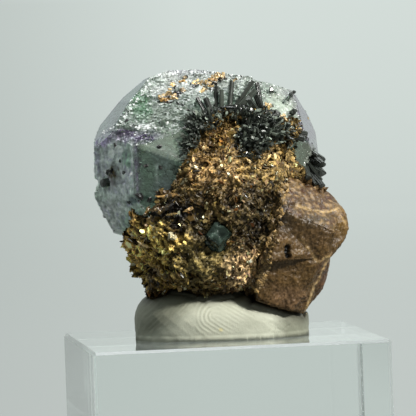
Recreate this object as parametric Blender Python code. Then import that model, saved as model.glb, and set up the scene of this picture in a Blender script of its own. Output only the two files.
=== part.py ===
"""A fluorite crystal with schorl on a matrix of mica and feldspar, set in putty on a clear acrylic block.

The block stands on z = 0 with its centre on the z axis and its sides along x and y. The specimen is modelled
in a frame of its own, which an empty turns about z: x runs to the viewer's right, y away from the viewer and
z up from the block's underside. Sizes are in millimetres until settle() brings each finished piece to metres.
"""

import math
import random

import bmesh
import bpy
from mathutils import Matrix, Vector, noise

MM = 0.001
# The clearance that neighbouring pieces keep.
GAP = 0.3
SHARPEST_SWELL = 2.0
SEED = 7

# The display block is a one and a quarter inch square, half an inch thick.
BLOCK_SIDE = 31.75
BLOCK_HEIGHT = 12.7
BLOCK_EDGE = 0.3
SPECIMEN_TURN = math.radians(-7.35)

# The putty is an oval pad, thick on the left and pressed thin on the right.
PUTTY_CENTRE = Vector((0.0, 0.3, BLOCK_HEIGHT + 1.6))
PUTTY_HALF = Vector((9.5, 7.6, 4.9))
PUTTY_TOP = 0.72
PUTTY_LEFT_RISE = 0.27
PUTTY_SQUARENESS = 2.6
PUTTY_UNEVEN = 0.02
PUTTY_LUMPS = 1.7

# A crystal's faces: an outward direction, and the face's distance from the crystal's centre.
FLUORITE_CENTRE = Vector((-1.5, 2.0, 33.0))
FLUORITE_FACES = {
    "window": ((0.0, -1.0, 0.0), 8.1),
    "left_front": ((-0.75, -0.66, 0.02), 11.0),
    "upper_front_left": ((-0.45, -0.58, 0.68), 8.8),
    "upper_front": ((-0.13, -0.65, 0.75), 6.9),
    "light_triangle": ((0.07, -0.98, 0.18), 7.65),
    "front_slope": ((0.28, -0.93, 0.22), 6.75),
    "bevel_upper": ((-0.63, -0.2, 0.75), 9.6),
    "bevel_left": ((-0.74, -0.23, 0.63), 9.9),
    "rim_upper_left": ((-0.6, 0.12, 0.79), 10.0),
    "rim_left": ((-0.75, 0.1, 0.66), 10.4),
    "left_shoulder": ((-0.92, 0.0, 0.39), 11.4),
    "left": ((-1.0, 0.0, 0.03), 11.75),
    "lower_left": ((-0.9, -0.04, -0.44), 12.8),
    "lower_left_front": ((-0.62, -0.62, -0.48), 11.9),
    "left_base": ((-0.35, -0.1, -0.93), 11.3),
    "top_left": ((-0.3, 0.06, 0.95), 9.4),
    "top_middle": ((0.0, 0.07, 1.0), 8.8),
    "top": ((0.19, 0.07, 0.98), 8.5),
    "top_right": ((0.31, 0.06, 0.95), 8.95),
    "right_shoulder": ((0.87, 0.0, 0.5), 11.8),
    "right_upper": ((0.93, 0.0, 0.36), 12.15),
    "right_strip": ((0.89, -0.24, 0.38), 11.4),
    "right": ((1.0, 0.05, 0.0), 12.5),
    "right_front_top": ((0.5, -0.62, 0.6), 8.7),
    "right_front": ((0.55, -0.83, 0.0), 9.6),
    "seat": ((0.35, -0.5, -0.79), 8.0),
    "bottom": ((0.0, 0.0, -1.0), 10.3),
    "back": ((0.05, 1.0, 0.05), 8.9),
    "back_left": ((-0.7, 0.7, 0.1), 11.2),
    "back_right": ((0.68, 0.72, -0.05), 11.4),
    "back_top": ((-0.1, 0.68, 0.72), 9.5),
    "back_top_left": ((-0.6, 0.55, 0.6), 11.0),
    "back_top_right": ((0.55, 0.6, 0.6), 10.6),
    "back_bottom": ((0.1, 0.55, -0.83), 10.2),
}
# Small cubes grown in one orientation with the crystal stand a little out of its rough faces:
# the face, how many, their side from least to most, and how far a corner stands out at most.
FLUORITE_TURN = (math.radians(2.0), math.radians(10.0), math.radians(5.0))
GROWTH_CUBES = {
    "upper_front": (16, 2.0, 4.5, 0.7),
    "upper_front_left": (9, 2.0, 4.0, 0.6),
    "left_front": (5, 2.0, 4.5, 0.35),
    "lower_left": (3, 2.0, 4.0, 0.4),
    "back": (9, 2.5, 6.0, 0.45),
    "back_top": (8, 2.0, 5.0, 0.45),
    "back_left": (5, 2.0, 5.0, 0.45),
    "back_right": (5, 2.0, 5.0, 0.45),
}
GROWTH_SPREAD = 7.5
GROWTH_TRIES = 12
GROWTH_LEAST_PROUD = 0.35
# A cube keeps this much clear of its face's edges, as a share of its distance from the crystal's centre.
GROWTH_EDGE = 0.04

# Hollows in the crystal: middle, and half the size along x, y and z. The long one notches its left edge.
FLUORITE_HOLLOWS = (
    ((-11.2, -4.0, 31.3), (0.85, 0.85, 0.85)),
    ((-13.2, -2.2, 29.8), (0.85, 0.85, 0.85)),
    ((-12.2, -4.0, 30.2), (0.7, 0.7, 0.7)),
    ((-13.8, 2.0, 29.6), (1.45, 7.0, 1.15)),
)

SMALL_FLUORITE_CENTRE = Vector((-0.1, -8.6, 23.9))
SMALL_FLUORITE_FACES = {
    "front": ((0.1, -0.9, 0.3), 1.0),
    "lower_left": ((-0.6, -0.6, -0.5), 1.25),
    "lower_right": ((0.7, -0.5, -0.45), 1.1),
    "upper_left": ((-0.75, -0.2, 0.6), 1.4),
    "upper_right": ((0.7, -0.3, 0.65), 1.35),
    "foot": ((0.0, 1.0, 0.0), 2.2),
    "top": ((0.1, 0.2, 0.97), 1.6),
    "bottom": ((0.0, 0.1, -1.0), 1.5),
    "left": ((-1.0, 0.2, 0.0), 1.5),
    "right": ((1.0, 0.2, 0.0), 1.4),
}

FELDSPAR_CENTRE = Vector((8.0, -2.5, 21.5))
FELDSPAR_FACES = {
    "front": ((0.16, -0.97, -0.16), 5.1),
    "left": ((-1.0, -0.02, 0.09), 4.1),
    "upper_left": ((-0.84, -0.1, 0.52), 3.9),
    "top": ((0.46, -0.63, 0.62), 6.7),
    "cap": ((0.41, 0.05, 0.91), 7.55),
    "cap_right": ((0.81, 0.05, 0.59), 7.1),
    "lower_bevel": ((0.71, -0.5, -0.49), 4.7),
    "lower_right": ((0.98, 0.0, -0.2), 3.9),
    "bottom_right": ((0.78, 0.0, -0.63), 4.75),
    "bottom": ((-0.31, -0.05, -0.95), 6.1),
    "back": ((0.1, 1.0, 0.05), 6.0),
    "back_right": ((0.75, 0.65, 0.0), 5.0),
}
FELDSPAR_NOSE_CENTRE = Vector((9.6, -3.4, 25.0))
FELDSPAR_NOSE_FACES = {
    "top": ((0.46, -0.63, 0.62), 3.25),
    "ridge": ((0.44, -0.74, 0.51), 4.3),
    "front": ((0.43, -0.9, 0.1), 3.4),
    "upper_right": ((0.41, 0.05, 0.91), 3.8),
    "right": ((0.81, 0.05, 0.59), 3.85),
    "tip": ((0.99, 0.05, 0.17), 4.15),
    "lower_right": ((0.89, 0.05, -0.45), 4.25),
    "under": ((0.75, 0.05, -0.66), 4.2),
    "left": ((-0.9, -0.3, 0.3), 4.6),
    "bottom": ((0.0, 0.0, -1.0), 3.9),
    "back": ((0.2, 0.95, 0.2), 4.4),
    "back_right": ((0.8, 0.6, 0.1), 4.7),
}
# Pits in the feldspar's front: middle, and half the size along x, y and z.
FELDSPAR_PITS = (
    ((7.3, -7.9, 22.5), (0.42, 0.42, 0.42)),
    ((7.3, -7.8, 21.5), (0.34, 0.34, 0.34)),
)

MATRIX_CENTRE = Vector((0.0, -1.0, 26.0))
MATRIX_FACES = {
    "left": ((-0.95, -0.31, 0.0), 9.8),
    "lower_left": ((-0.81, -0.44, -0.38), 9.4),
    "left_low": ((-0.92, -0.05, -0.39), 10.65),
    "left_top": ((-0.68, -0.65, 0.34), 8.9),
    "upper_left": ((-0.61, -0.65, 0.45), 8.3),
    "upper_left_high": ((-0.64, -0.57, 0.51), 8.5),
    "top": ((-0.03, -0.28, 0.96), 11.2),
    "top_right": ((0.68, -0.47, 0.56), 10.5),
    "upper_right": ((0.78, -0.49, 0.38), 9.9),
    "front_upper": ((0.11, -0.82, 0.55), 8.4),
    "front_high": ((0.11, -0.66, 0.74), 9.5),
    "front": ((-0.06, -1.0, 0.02), 8.0),
    "front_right": ((0.47, -0.86, -0.19), 8.2),
    "front_lower": ((-0.06, -0.71, -0.7), 9.6),
    "bottom_left": ((0.1, -0.05, -0.99), 8.4),
    "bottom": ((-0.25, -0.05, -0.97), 8.7),
    "right": ((1.0, 0.0, -0.1), 9.4),
    "right_foot": ((0.8, 0.0, -0.6), 8.6),
    "back": ((0.0, 1.0, 0.1), 7.4),
    "back_left": ((-0.7, 0.7, -0.1), 9.2),
    "back_right": ((0.7, 0.7, 0.0), 9.0),
    "back_bottom": ((0.0, 0.75, -0.66), 9.0),
    "back_top": ((0.0, 0.8, 0.6), 6.0),
}
# The foot at the matrix's left end, which reaches down to the putty: its centre, and half its size.
MATRIX_FOOT = ((-6.6, -1.2, 19.0), (1.75, 3.6, 2.3))
MATRIX_LUMP = 0.5
MATRIX_LUMP_SIZE = 2.6
MATRIX_LEDGE = 0.25
# Books of mica that stand out of the matrix: the direction from its centre that they gather round,
# how far they spread, how many there are, and their radius from least to most.
MICA_BEDS = {
    "upper_middle": ((-0.05, -0.8, 0.62), 0.36, 18, 0.8, 1.6),
    "fluorite_edge": ((-0.62, -0.75, 0.25), 0.26, 12, 0.8, 1.7),
    "lower_left": ((-0.86, -0.4, -0.25), 0.32, 14, 0.7, 1.6),
    "front": ((-0.2, -0.95, -0.25), 0.42, 14, 0.7, 1.4),
    "back": ((-0.1, 0.85, -0.45), 0.5, 10, 0.9, 1.7),
}
MICA_SIDES = 6
MICA_TAPER = 0.94
MICA_THICKNESS = (0.18, 0.42)
MICA_WIDTH_TO_LENGTH = (0.6, 0.95)
MICA_SUNK = 0.35
MICA_TILT = 0.6

# A schorl crystal has a rounded three-cornered section and narrows a little at its tip.
SCHORL_SIDES = 9
SCHORL_CORNERS = 0.14
SCHORL_TIP = 0.86
# The schorl crystals that grow into each other over the matrix: foot, tip and width.
SCHORL_SPRAY = (
    ((-0.8, -3.4, 36.8), (-1.9, -3.2, 38.9), 0.47),
    ((-0.3, -3.5, 36.9), (-1.0, -3.5, 38.85), 0.62),
    ((0.1, -2.9, 37.2), (0.3, -2.2, 40.0), 0.52),
    ((0.7, -3.0, 37.2), (0.8, -2.9, 39.65), 0.52),
    ((1.6, -2.8, 37.3), (2.0, -2.0, 40.4), 0.54),
    ((2.2, -2.6, 37.6), (4.3, -1.6, 40.4), 0.46),
    ((2.6, -2.8, 37.5), (4.5, -3.2, 39.4), 0.60),
    ((5.1, -2.6, 36.9), (4.7, -1.2, 40.2), 0.54),
    ((5.1, -2.2, 36.4), (3.6, -4.3, 38.6), 0.65),
    ((5.4, -2.2, 36.5), (4.5, -3.2, 38.8), 0.65),
    ((5.6, -2.2, 36.2), (7.0, -3.0, 36.9), 0.93),
    ((6.0, -2.6, 35.2), (8.7, -2.2, 34.6), 0.80),
    ((7.0, -2.4, 34.9), (10.0, -1.6, 34.2), 0.87),
    ((7.2, -2.6, 34.6), (9.7, -3.0, 33.8), 0.60),
)
# The knots that the crystals grow from, each with short crystals of its own:
# its centre, half its size along x, y and z, and how many crystals.
SCHORL_KNOTS = (
    ((5.0, -3.2, 35.2), (2.9, 1.7, 2.2), 8),
    ((3.8, -5.0, 33.9), (1.8, 1.0, 1.7), 3),
    ((7.1, -3.2, 34.1), (1.5, 1.1, 1.1), 3),
    ((-0.7, -4.0, 36.3), (1.5, 1.3, 1.2), 3),
    ((-2.1, -4.4, 35.3), (0.8, 1.0, 1.5), 2),
    ((2.0, -3.2, 37.0), (3.4, 1.2, 0.9), 3),
)
SCHORL_SEED = 11
SCHORL_KNOT_ROUGH = 0.16
SCHORL_KNOT_LUMPS = 2.3
SCHORL_OUTWARD = (0.05, -0.82, 0.5)
SCHORL_STRAY = 0.45
SCHORL_OUT = 0.7
SCHORL_SHORT_WIDTH = (0.5, 0.85)
# The fan of long crystals on the right.
SCHORL_FAN = (
    ((9.5, -0.3, 32.8), (11.6, -1.3, 31.4), 0.87),
    ((9.9, -0.3, 32.4), (11.5, -2.4, 31.0), 0.80),
    ((10.2, -0.2, 31.5), (11.5, -2.9, 30.1), 0.70),
    ((10.0, -0.6, 30.9), (11.4, -3.2, 30.0), 0.70),
    ((9.9, -0.8, 30.5), (11.3, -4.2, 28.7), 0.87),
    ((9.5, -0.9, 31.1), (9.8, -4.5, 29.7), 0.75),
)
SCHORL_FAN_KNOT = ((9.8, -0.4, 31.6), (0.8, 1.2, 1.7))
# Crystals that stand on their own in the fluorite.
SCHORL_SINGLES = (
    ((6.3, 0.8, 38.7), (6.2, -0.6, 39.4), 0.50),
    ((8.2, 2.1, 38.5), (8.7, -1.1, 39.0), 0.42),
    ((8.0, 0.1, 36.3), (8.7, -1.6, 37.0), 0.63),
    ((-11.6, -2.0, 30.0), (-12.5, -3.2, 29.9), 0.87),
    ((1.5, 8.5, 34.5), (2.6, 12.2, 35.6), 0.80),
    ((-3.5, 9.0, 30.5), (-4.6, 12.0, 30.9), 0.70),
    ((6.5, 7.6, 30.5), (8.4, 10.6, 30.0), 0.75),
)


def collection(name):
    made = bpy.data.collections.new(name)
    bpy.context.scene.collection.children.link(made)
    return made


def clear_scene():
    for old in list(bpy.data.objects):
        bpy.data.objects.remove(old)


def mesh_object(name, form, home):
    """An object in the collection home, from a bmesh, which is used up."""
    mesh = bpy.data.meshes.new(name)
    bmesh.ops.recalc_face_normals(form, faces=form.faces)
    form.to_mesh(mesh)
    form.free()
    made = bpy.data.objects.new(name, mesh)
    home.objects.link(made)
    return made


def combine(target, tool, operation):
    """Joins or cuts target with tool, which is used up."""
    change = target.modifiers.new(operation.title(), "BOOLEAN")
    change.operation = operation
    change.object = tool
    bpy.context.view_layer.update()
    graph = bpy.context.evaluated_depsgraph_get()
    result = bpy.data.meshes.new_from_object(target.evaluated_get(graph))
    target.modifiers.clear()
    old = target.data
    target.data = result
    bpy.data.meshes.remove(old)
    bpy.data.objects.remove(tool)


def islands(form):
    """The separate bodies of a bmesh, each a list of vertices."""
    left = set(form.verts)
    found = []
    while left:
        seed = left.pop()
        body = [seed]
        edge = [seed]
        while edge:
            vertex = edge.pop()
            for link in vertex.link_edges:
                other = link.other_vert(vertex)
                if other in left:
                    left.remove(other)
                    body.append(other)
                    edge.append(other)
        found.append(body)
    return found


def keep_main_body(target):
    """Drops the crumbs that a cut leaves."""
    form = bmesh.new()
    form.from_mesh(target.data)
    bodies = sorted(islands(form), key=len)
    crumbs = [vertex for body in bodies[:-1] for vertex in body]
    bmesh.ops.delete(form, geom=crumbs, context="VERTS")
    form.to_mesh(target.data)
    form.free()


def swollen(source, by, home):
    """A copy whose faces have moved out by a clearance, for cutting a neighbour."""
    form = bmesh.new()
    form.from_mesh(source.data)
    bmesh.ops.remove_doubles(form, verts=form.verts, dist=GAP / 20)
    form.normal_update()
    normals = [vertex.normal * min(vertex.calc_shell_factor(), SHARPEST_SWELL) for vertex in form.verts]
    for vertex, normal in zip(form.verts, normals):
        vertex.co += normal * by
    return mesh_object(source.name + "_room", form, home)


def cut_crystal(name, centre, faces, home, reach=40.0):
    """A block cut back to each flat face in turn."""
    form = bmesh.new()
    bmesh.ops.create_cube(form, size=reach, matrix=Matrix.Translation(centre))
    for direction, distance in faces.values():
        outward = Vector(direction).normalized()
        everything = form.verts[:] + form.edges[:] + form.faces[:]
        cut = bmesh.ops.bisect_plane(
            form, geom=everything, plane_co=centre + outward * distance, plane_no=outward, clear_outer=True
        )
        rim = [part for part in cut["geom_cut"] if isinstance(part, bmesh.types.BMEdge)]
        if rim:
            bmesh.ops.edgeloop_fill(form, edges=rim)
    return mesh_object(name, form, home)


def reach_to_faces(direction, faces):
    """How far a ray from the centre runs before it meets the nearest face."""
    reach = math.inf
    for outward, distance in faces.values():
        slope = direction.dot(Vector(outward).normalized())
        if slope > 0.01:
            reach = min(reach, distance / slope)
    return reach


def lump(point):
    """Rough ground: broad lumps with ledges on them, about one unit high."""
    broad = noise.fractal(point / MATRIX_LUMP_SIZE, 0.9, 2.1, 3)
    ledge = math.sin(point.z * 1.9 + point.x * 0.7 + 2.5 * broad)
    return broad + MATRIX_LEDGE * ledge


def matrix_point(direction):
    """The point of the matrix's surface in a direction from its centre."""
    reach = reach_to_faces(direction, MATRIX_FACES)
    point = MATRIX_CENTRE + direction * reach
    return point + direction * MATRIX_LUMP * lump(point)


def mica_book(foot, normal, radius, thickness, squash, turn, home):
    """One short stack of mica sheets, a flat six-sided plate."""
    form = bmesh.new()
    bmesh.ops.create_cone(
        form, cap_ends=True, segments=MICA_SIDES, radius1=radius, radius2=radius * MICA_TAPER, depth=thickness
    )
    bmesh.ops.scale(form, vec=(1.0, squash, 1.0), verts=form.verts)
    place = Matrix.Translation(foot) @ normal.to_track_quat("Z", "Y").to_matrix().to_4x4()
    bmesh.ops.transform(form, matrix=place @ Matrix.Rotation(turn, 4, "Z"), verts=form.verts)
    return mesh_object("mica_book", form, home)


def add_mica_beds(target, home, chance):
    for toward, spread, count, least, most in MICA_BEDS.values():
        for _ in range(count):
            drift = Vector([chance.gauss(0, spread) for _ in range(3)])
            direction = (Vector(toward).normalized() + drift).normalized()
            radius = chance.uniform(least, most)
            foot = matrix_point(direction) - direction * MICA_SUNK * radius
            on_edge = direction.cross(Vector((0.3, 0.2, 1.0))).normalized()
            tilt = Vector([chance.gauss(0, MICA_TILT) for _ in range(3)])
            normal = (on_edge + tilt + 0.5 * direction).normalized()
            thickness = chance.uniform(*MICA_THICKNESS)
            squash = chance.uniform(*MICA_WIDTH_TO_LENGTH)
            turn = chance.uniform(0, math.pi)
            combine(target, mica_book(foot, normal, radius, thickness, squash, turn, home), "UNION")


def matrix_foot(home):
    centre, half = MATRIX_FOOT
    form = bmesh.new()
    bmesh.ops.create_icosphere(form, subdivisions=2, radius=1.0)
    for vertex in form.verts:
        direction = vertex.co.normalized()
        point = Vector(centre) + Vector([direction[i] * half[i] for i in range(3)])
        vertex.co = point + direction * MATRIX_LUMP * lump(point)
    return mesh_object("matrix_foot", form, home)


def rough_matrix(home, chance):
    form = bmesh.new()
    bmesh.ops.create_icosphere(form, subdivisions=4, radius=1.0)
    for vertex in form.verts:
        vertex.co = matrix_point(vertex.co.normalized())
    rock = mesh_object("mica_matrix", form, home)
    combine(rock, matrix_foot(home), "UNION")
    add_mica_beds(rock, home, chance)
    return rock


def growth_cubes(chance):
    """Where the small cubes sit: for each its matrix and its side."""
    turn = Matrix.Rotation(FLUORITE_TURN[2], 4, "Z") @ Matrix.Rotation(FLUORITE_TURN[1], 4, "Y")
    turn = turn @ Matrix.Rotation(FLUORITE_TURN[0], 4, "X")
    corners = [turn.to_3x3() @ Vector((x, y, z)) for x in (-1, 1) for y in (-1, 1) for z in (-1, 1)]
    cubes = []
    for face, (count, least, most, proud) in GROWTH_CUBES.items():
        direction, distance = FLUORITE_FACES[face]
        outward = Vector(direction).normalized()
        across = outward.cross(Vector((0.1, 0.2, 1.0))).normalized()
        along = outward.cross(across)
        others = {key: value for key, value in FLUORITE_FACES.items() if key != face}
        placed = 0
        for _ in range(count * GROWTH_TRIES):
            if placed == count:
                break
            spot = outward * distance + across * chance.uniform(-GROWTH_SPREAD, GROWTH_SPREAD)
            spot += along * chance.uniform(-GROWTH_SPREAD, GROWTH_SPREAD)
            if reach_to_faces(spot.normalized(), others) < spot.length * (1 + GROWTH_EDGE):
                continue
            side = chance.uniform(least, most)
            corner = max(way.dot(outward) for way in corners) * side / 2
            sunk = corner - chance.uniform(GROWTH_LEAST_PROUD, 1.0) * proud
            cubes.append((Matrix.Translation(FLUORITE_CENTRE + spot - outward * sunk) @ turn, side))
            placed += 1
    return cubes


def cube(place, side, home):
    form = bmesh.new()
    bmesh.ops.create_cube(form, size=side, matrix=place)
    return mesh_object("growth_cube", form, home)


def hollow(target, middle, half, home):
    form = bmesh.new()
    place = Matrix.Translation(middle) @ Matrix.Diagonal((*half, 1.0))
    bmesh.ops.create_icosphere(form, subdivisions=1, radius=1.0, matrix=place)
    combine(target, mesh_object("hollow", form, home), "DIFFERENCE")


def schorl_prism(name, foot, tip, width, home, swell=0.0):
    """A prism with a rounded three-cornered section and a low pointed end."""
    foot = Vector(foot)
    tip = Vector(tip)
    axis = (tip - foot).normalized()
    length = (tip - foot).length
    form = bmesh.new()
    bmesh.ops.create_cone(
        form, cap_ends=True, segments=SCHORL_SIDES, radius1=width / 2, radius2=width / 2, depth=length
    )
    for vertex in form.verts:
        angle = math.atan2(vertex.co.y, vertex.co.x)
        grow = 1 + SCHORL_CORNERS * math.cos(3 * angle) + 2 * swell / width
        vertex.co.x *= grow
        vertex.co.y *= grow
        if vertex.co.z > 0:
            vertex.co.x *= SCHORL_TIP
            vertex.co.y *= SCHORL_TIP
            vertex.co.z += swell
        else:
            vertex.co.z -= swell
    place = Matrix.Translation((foot + tip) / 2) @ axis.to_track_quat("Z", "Y").to_matrix().to_4x4()
    bmesh.ops.transform(form, matrix=place, verts=form.verts)
    return mesh_object(name, form, home)


def schorl_group(name, crystals, home, swell=0.0):
    """Crystals that grow into each other, as one body."""
    group = schorl_prism(name, *crystals[0], home, swell)
    for crystal in crystals[1:]:
        combine(group, schorl_prism("schorl_prism", *crystal, home, swell), "UNION")
    return group


def schorl_knot(centre, half, home, swell=0.0):
    form = bmesh.new()
    bmesh.ops.create_icosphere(form, subdivisions=2, radius=1.0)
    for vertex in form.verts:
        direction = vertex.co.normalized()
        rough = 1 + SCHORL_KNOT_ROUGH * noise.noise(direction * SCHORL_KNOT_LUMPS)
        vertex.co = Vector(centre) + Vector([direction[i] * (half[i] + swell) * rough for i in range(3)])
    return mesh_object("schorl_knot", form, home)


def schorl_fan(home, swell=0.0):
    fan = schorl_group("schorl_fan", SCHORL_FAN, home, swell)
    combine(fan, schorl_knot(*SCHORL_FAN_KNOT, home, swell), "UNION")
    return fan


def schorl_spray(home, swell=0.0):
    chance = random.Random(SCHORL_SEED)
    spray = schorl_group("schorl_spray", SCHORL_SPRAY, home, swell)
    for centre, half, count in SCHORL_KNOTS:
        combine(spray, schorl_knot(centre, half, home, swell), "UNION")
        for _ in range(count):
            drift = Vector([chance.gauss(0, SCHORL_STRAY) for _ in range(3)])
            way = (Vector(SCHORL_OUTWARD) + drift).normalized()
            foot = Vector(centre) + Vector([chance.uniform(-0.6, 0.6) * half[i] for i in range(3)])
            reach = 1 / Vector([way[i] / half[i] for i in range(3)]).length
            tip = foot + way * (reach * chance.uniform(0.75, 1.0) + SCHORL_OUT)
            width = chance.uniform(*SCHORL_SHORT_WIDTH)
            combine(spray, schorl_prism("schorl_prism", foot, tip, width, home, swell), "UNION")
    return spray


def feldspar_block(home):
    block = cut_crystal("feldspar", FELDSPAR_CENTRE, FELDSPAR_FACES, home)
    nose = cut_crystal("feldspar_nose", FELDSPAR_NOSE_CENTRE, FELDSPAR_NOSE_FACES, home)
    combine(block, nose, "UNION")
    for middle, half in FELDSPAR_PITS:
        hollow(block, middle, half, home)
    return block


def putty_pad(home):
    """An oval pad with full sides, higher on the left, cut flat where it is pressed on the block."""
    form = bmesh.new()
    bmesh.ops.create_icosphere(form, subdivisions=4, radius=1.0)
    for vertex in form.verts:
        direction = vertex.co.normalized()
        norm = sum(abs(part) ** PUTTY_SQUARENESS for part in direction) ** (1 / PUTTY_SQUARENESS)
        shape = direction / norm
        spot = Vector([shape[i] * PUTTY_HALF[i] for i in range(3)])
        if spot.z > 0:
            spot.z *= PUTTY_TOP - PUTTY_LEFT_RISE * shape.x
        spot *= 1 + PUTTY_UNEVEN * noise.noise(direction * PUTTY_LUMPS)
        vertex.co = PUTTY_CENTRE + spot
    floor = BLOCK_HEIGHT + GAP
    everything = form.verts[:] + form.edges[:] + form.faces[:]
    cut = bmesh.ops.bisect_plane(
        form, geom=everything, plane_co=(0, 0, floor), plane_no=(0, 0, -1), clear_outer=True
    )
    rim = [part for part in cut["geom_cut"] if isinstance(part, bmesh.types.BMEdge)]
    bmesh.ops.edgeloop_fill(form, edges=rim)
    return mesh_object("putty_pad", form, home)


def display_block(home):
    form = bmesh.new()
    bmesh.ops.create_cube(form, size=1.0)
    bmesh.ops.scale(form, vec=(BLOCK_SIDE, BLOCK_SIDE, BLOCK_HEIGHT), verts=form.verts)
    bmesh.ops.translate(form, vec=(0, 0, BLOCK_HEIGHT / 2), verts=form.verts)
    bmesh.ops.bevel(
        form, geom=form.edges[:], offset=BLOCK_EDGE, segments=1, profile=0.5, affect="EDGES", material=-1
    )
    return mesh_object("display_block", form, home)


def material(name, colour, roughness, transmission=0.0, ior=1.5):
    made = bpy.data.materials.new(name)
    made.use_nodes = True
    shader = made.node_tree.nodes["Principled BSDF"]
    shader.inputs["Base Color"].default_value = (*colour, 1.0)
    shader.inputs["Roughness"].default_value = roughness
    shader.inputs["Metallic"].default_value = 0.0
    shader.inputs["Transmission Weight"].default_value = transmission
    shader.inputs["IOR"].default_value = ior
    made.diffuse_color = (*colour, 1.0)
    return made


def settle(piece, finish, parent=None):
    """Brings a finished piece to metres, gives it its material, and hangs it on its parent."""
    piece.data.transform(Matrix.Scale(MM, 4))
    piece.data.materials.clear()
    piece.data.materials.append(finish)
    piece.parent = parent


def build():
    clear_scene()
    home = collection("fluorite_with_schorl_specimen")
    tools = collection("cutters")
    chance = random.Random(SEED)

    block = display_block(home)
    rock = rough_matrix(home, chance)
    feldspar = feldspar_block(home)
    fluorite = cut_crystal("fluorite", FLUORITE_CENTRE, FLUORITE_FACES, home)
    for middle, half in FLUORITE_HOLLOWS:
        hollow(fluorite, middle, half, home)
    small = cut_crystal("small_fluorite", SMALL_FLUORITE_CENTRE, SMALL_FLUORITE_FACES, home, reach=8.0)
    putty = putty_pad(home)

    seat = {key: (direction, distance + GAP) for key, (direction, distance) in FLUORITE_FACES.items()}
    for neighbour in (rock, feldspar):
        combine(neighbour, cut_crystal("seat", FLUORITE_CENTRE, seat, tools), "DIFFERENCE")
    for place, side in growth_cubes(chance):
        combine(fluorite, cube(place, side, home), "UNION")
        for neighbour in (rock, feldspar):
            combine(neighbour, cube(place, side + 2 * GAP, tools), "DIFFERENCE")
    combine(putty, swollen(rock, GAP, tools), "DIFFERENCE")
    combine(putty, swollen(feldspar, GAP, tools), "DIFFERENCE")
    for neighbour in (feldspar, small):
        combine(rock, swollen(neighbour, GAP, tools), "DIFFERENCE")
    spray = schorl_spray(home)
    fan = schorl_fan(home)
    singles = [
        schorl_prism(f"schorl_crystal_{number}", *crystal, home)
        for number, crystal in enumerate(SCHORL_SINGLES, 1)
    ]
    for host in (rock, fluorite, feldspar):
        combine(host, schorl_spray(tools, GAP), "DIFFERENCE")
        combine(host, schorl_fan(tools, GAP), "DIFFERENCE")
        for crystal in SCHORL_SINGLES:
            combine(host, schorl_prism("schorl_room", *crystal, tools, GAP), "DIFFERENCE")
    for cut_piece in (rock, feldspar, fluorite, putty):
        keep_main_body(cut_piece)

    turned = bpy.data.objects.new("specimen_turn", None)
    turned.rotation_euler.z = SPECIMEN_TURN
    home.objects.link(turned)
    clear = material("acrylic", (0.95, 0.98, 0.97), 0.02, transmission=1.0, ior=1.49)
    violet_green = material("fluorite", (0.62, 0.70, 0.68), 0.12, transmission=0.8, ior=1.434)
    black = material("schorl", (0.012, 0.015, 0.014), 0.25)
    settle(block, clear)
    settle(putty, material("putty", (0.55, 0.56, 0.49), 0.55), turned)
    settle(rock, material("mica_matrix", (0.26, 0.17, 0.09), 0.45), turned)
    settle(feldspar, material("feldspar", (0.36, 0.22, 0.13), 0.5), turned)
    settle(fluorite, violet_green, turned)
    settle(small, violet_green, turned)
    for crystal in (spray, fan, *singles):
        settle(crystal, black, turned)


build()
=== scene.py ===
"""A fluorite crystal with schorl on mica rock, pressed into putty on a clear acrylic display block."""

import math
import random

import bmesh
import bpy
import numpy as np
from mathutils import Matrix, Vector, noise
from mathutils.bvhtree import BVHTree
from mathutils.kdtree import KDTree


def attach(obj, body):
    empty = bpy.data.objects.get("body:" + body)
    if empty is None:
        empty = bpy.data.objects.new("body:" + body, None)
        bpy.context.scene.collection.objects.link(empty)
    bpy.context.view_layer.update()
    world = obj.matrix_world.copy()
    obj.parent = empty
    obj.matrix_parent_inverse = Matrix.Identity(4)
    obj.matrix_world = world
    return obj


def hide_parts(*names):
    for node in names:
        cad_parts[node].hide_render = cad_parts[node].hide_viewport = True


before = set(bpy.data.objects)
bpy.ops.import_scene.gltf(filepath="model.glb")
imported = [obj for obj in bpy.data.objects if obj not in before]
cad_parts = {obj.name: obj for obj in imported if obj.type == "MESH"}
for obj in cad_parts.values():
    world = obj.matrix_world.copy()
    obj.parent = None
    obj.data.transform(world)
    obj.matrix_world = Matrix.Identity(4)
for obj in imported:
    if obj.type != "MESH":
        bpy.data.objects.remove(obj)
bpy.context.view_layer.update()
# Display block
# A square block of clear cast acrylic, its faces polished and its narrow chamfers left slightly frosted.
# The specimen only stands on it, in its putty.

ACRYLIC_TONE = (0.985, 0.995, 0.99)
ACRYLIC_GREEN = (0.86, 0.97, 0.93)
ACRYLIC_DEPTH = 9.0
SMEAR_SIZE = 90.0
SMEAR_DULL = 0.06
CHAMFER_FROST = 0.35


def tone(red, green, blue):
    """A colour as a screen shows it, from 0 to 255, in linear light."""
    return tuple((part / 255) ** 2.2 for part in (red, green, blue))


def new_finish(name, colour, **values):
    """A material and its shader. The values are for the shader's own sockets, with _ for a space."""
    made = bpy.data.materials.new(name)
    made.use_nodes = True
    shader = made.node_tree.nodes["Principled BSDF"]
    shader.inputs["Base Color"].default_value = (*colour, 1)
    for socket, value in values.items():
        shader.inputs[socket.replace("_", " ")].default_value = value
    return made, shader


def add_node(tree, kind, inputs=None, **settings):
    """A node in a tree. Each input is given another node's socket or a value."""
    node = tree.nodes.new("ShaderNode" + kind)
    for key, value in settings.items():
        setattr(node, key, value)
    for key, value in (inputs or {}).items():
        if isinstance(value, bpy.types.NodeSocket):
            tree.links.new(value, node.inputs[key])
        else:
            node.inputs[key].default_value = value
    return node


def compute(tree, operation, *values, kind="Math", **named):
    """What an operation makes of sockets or values."""
    return add_node(tree, kind, {**dict(enumerate(values)), **named}, operation=operation).outputs[0]


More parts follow.
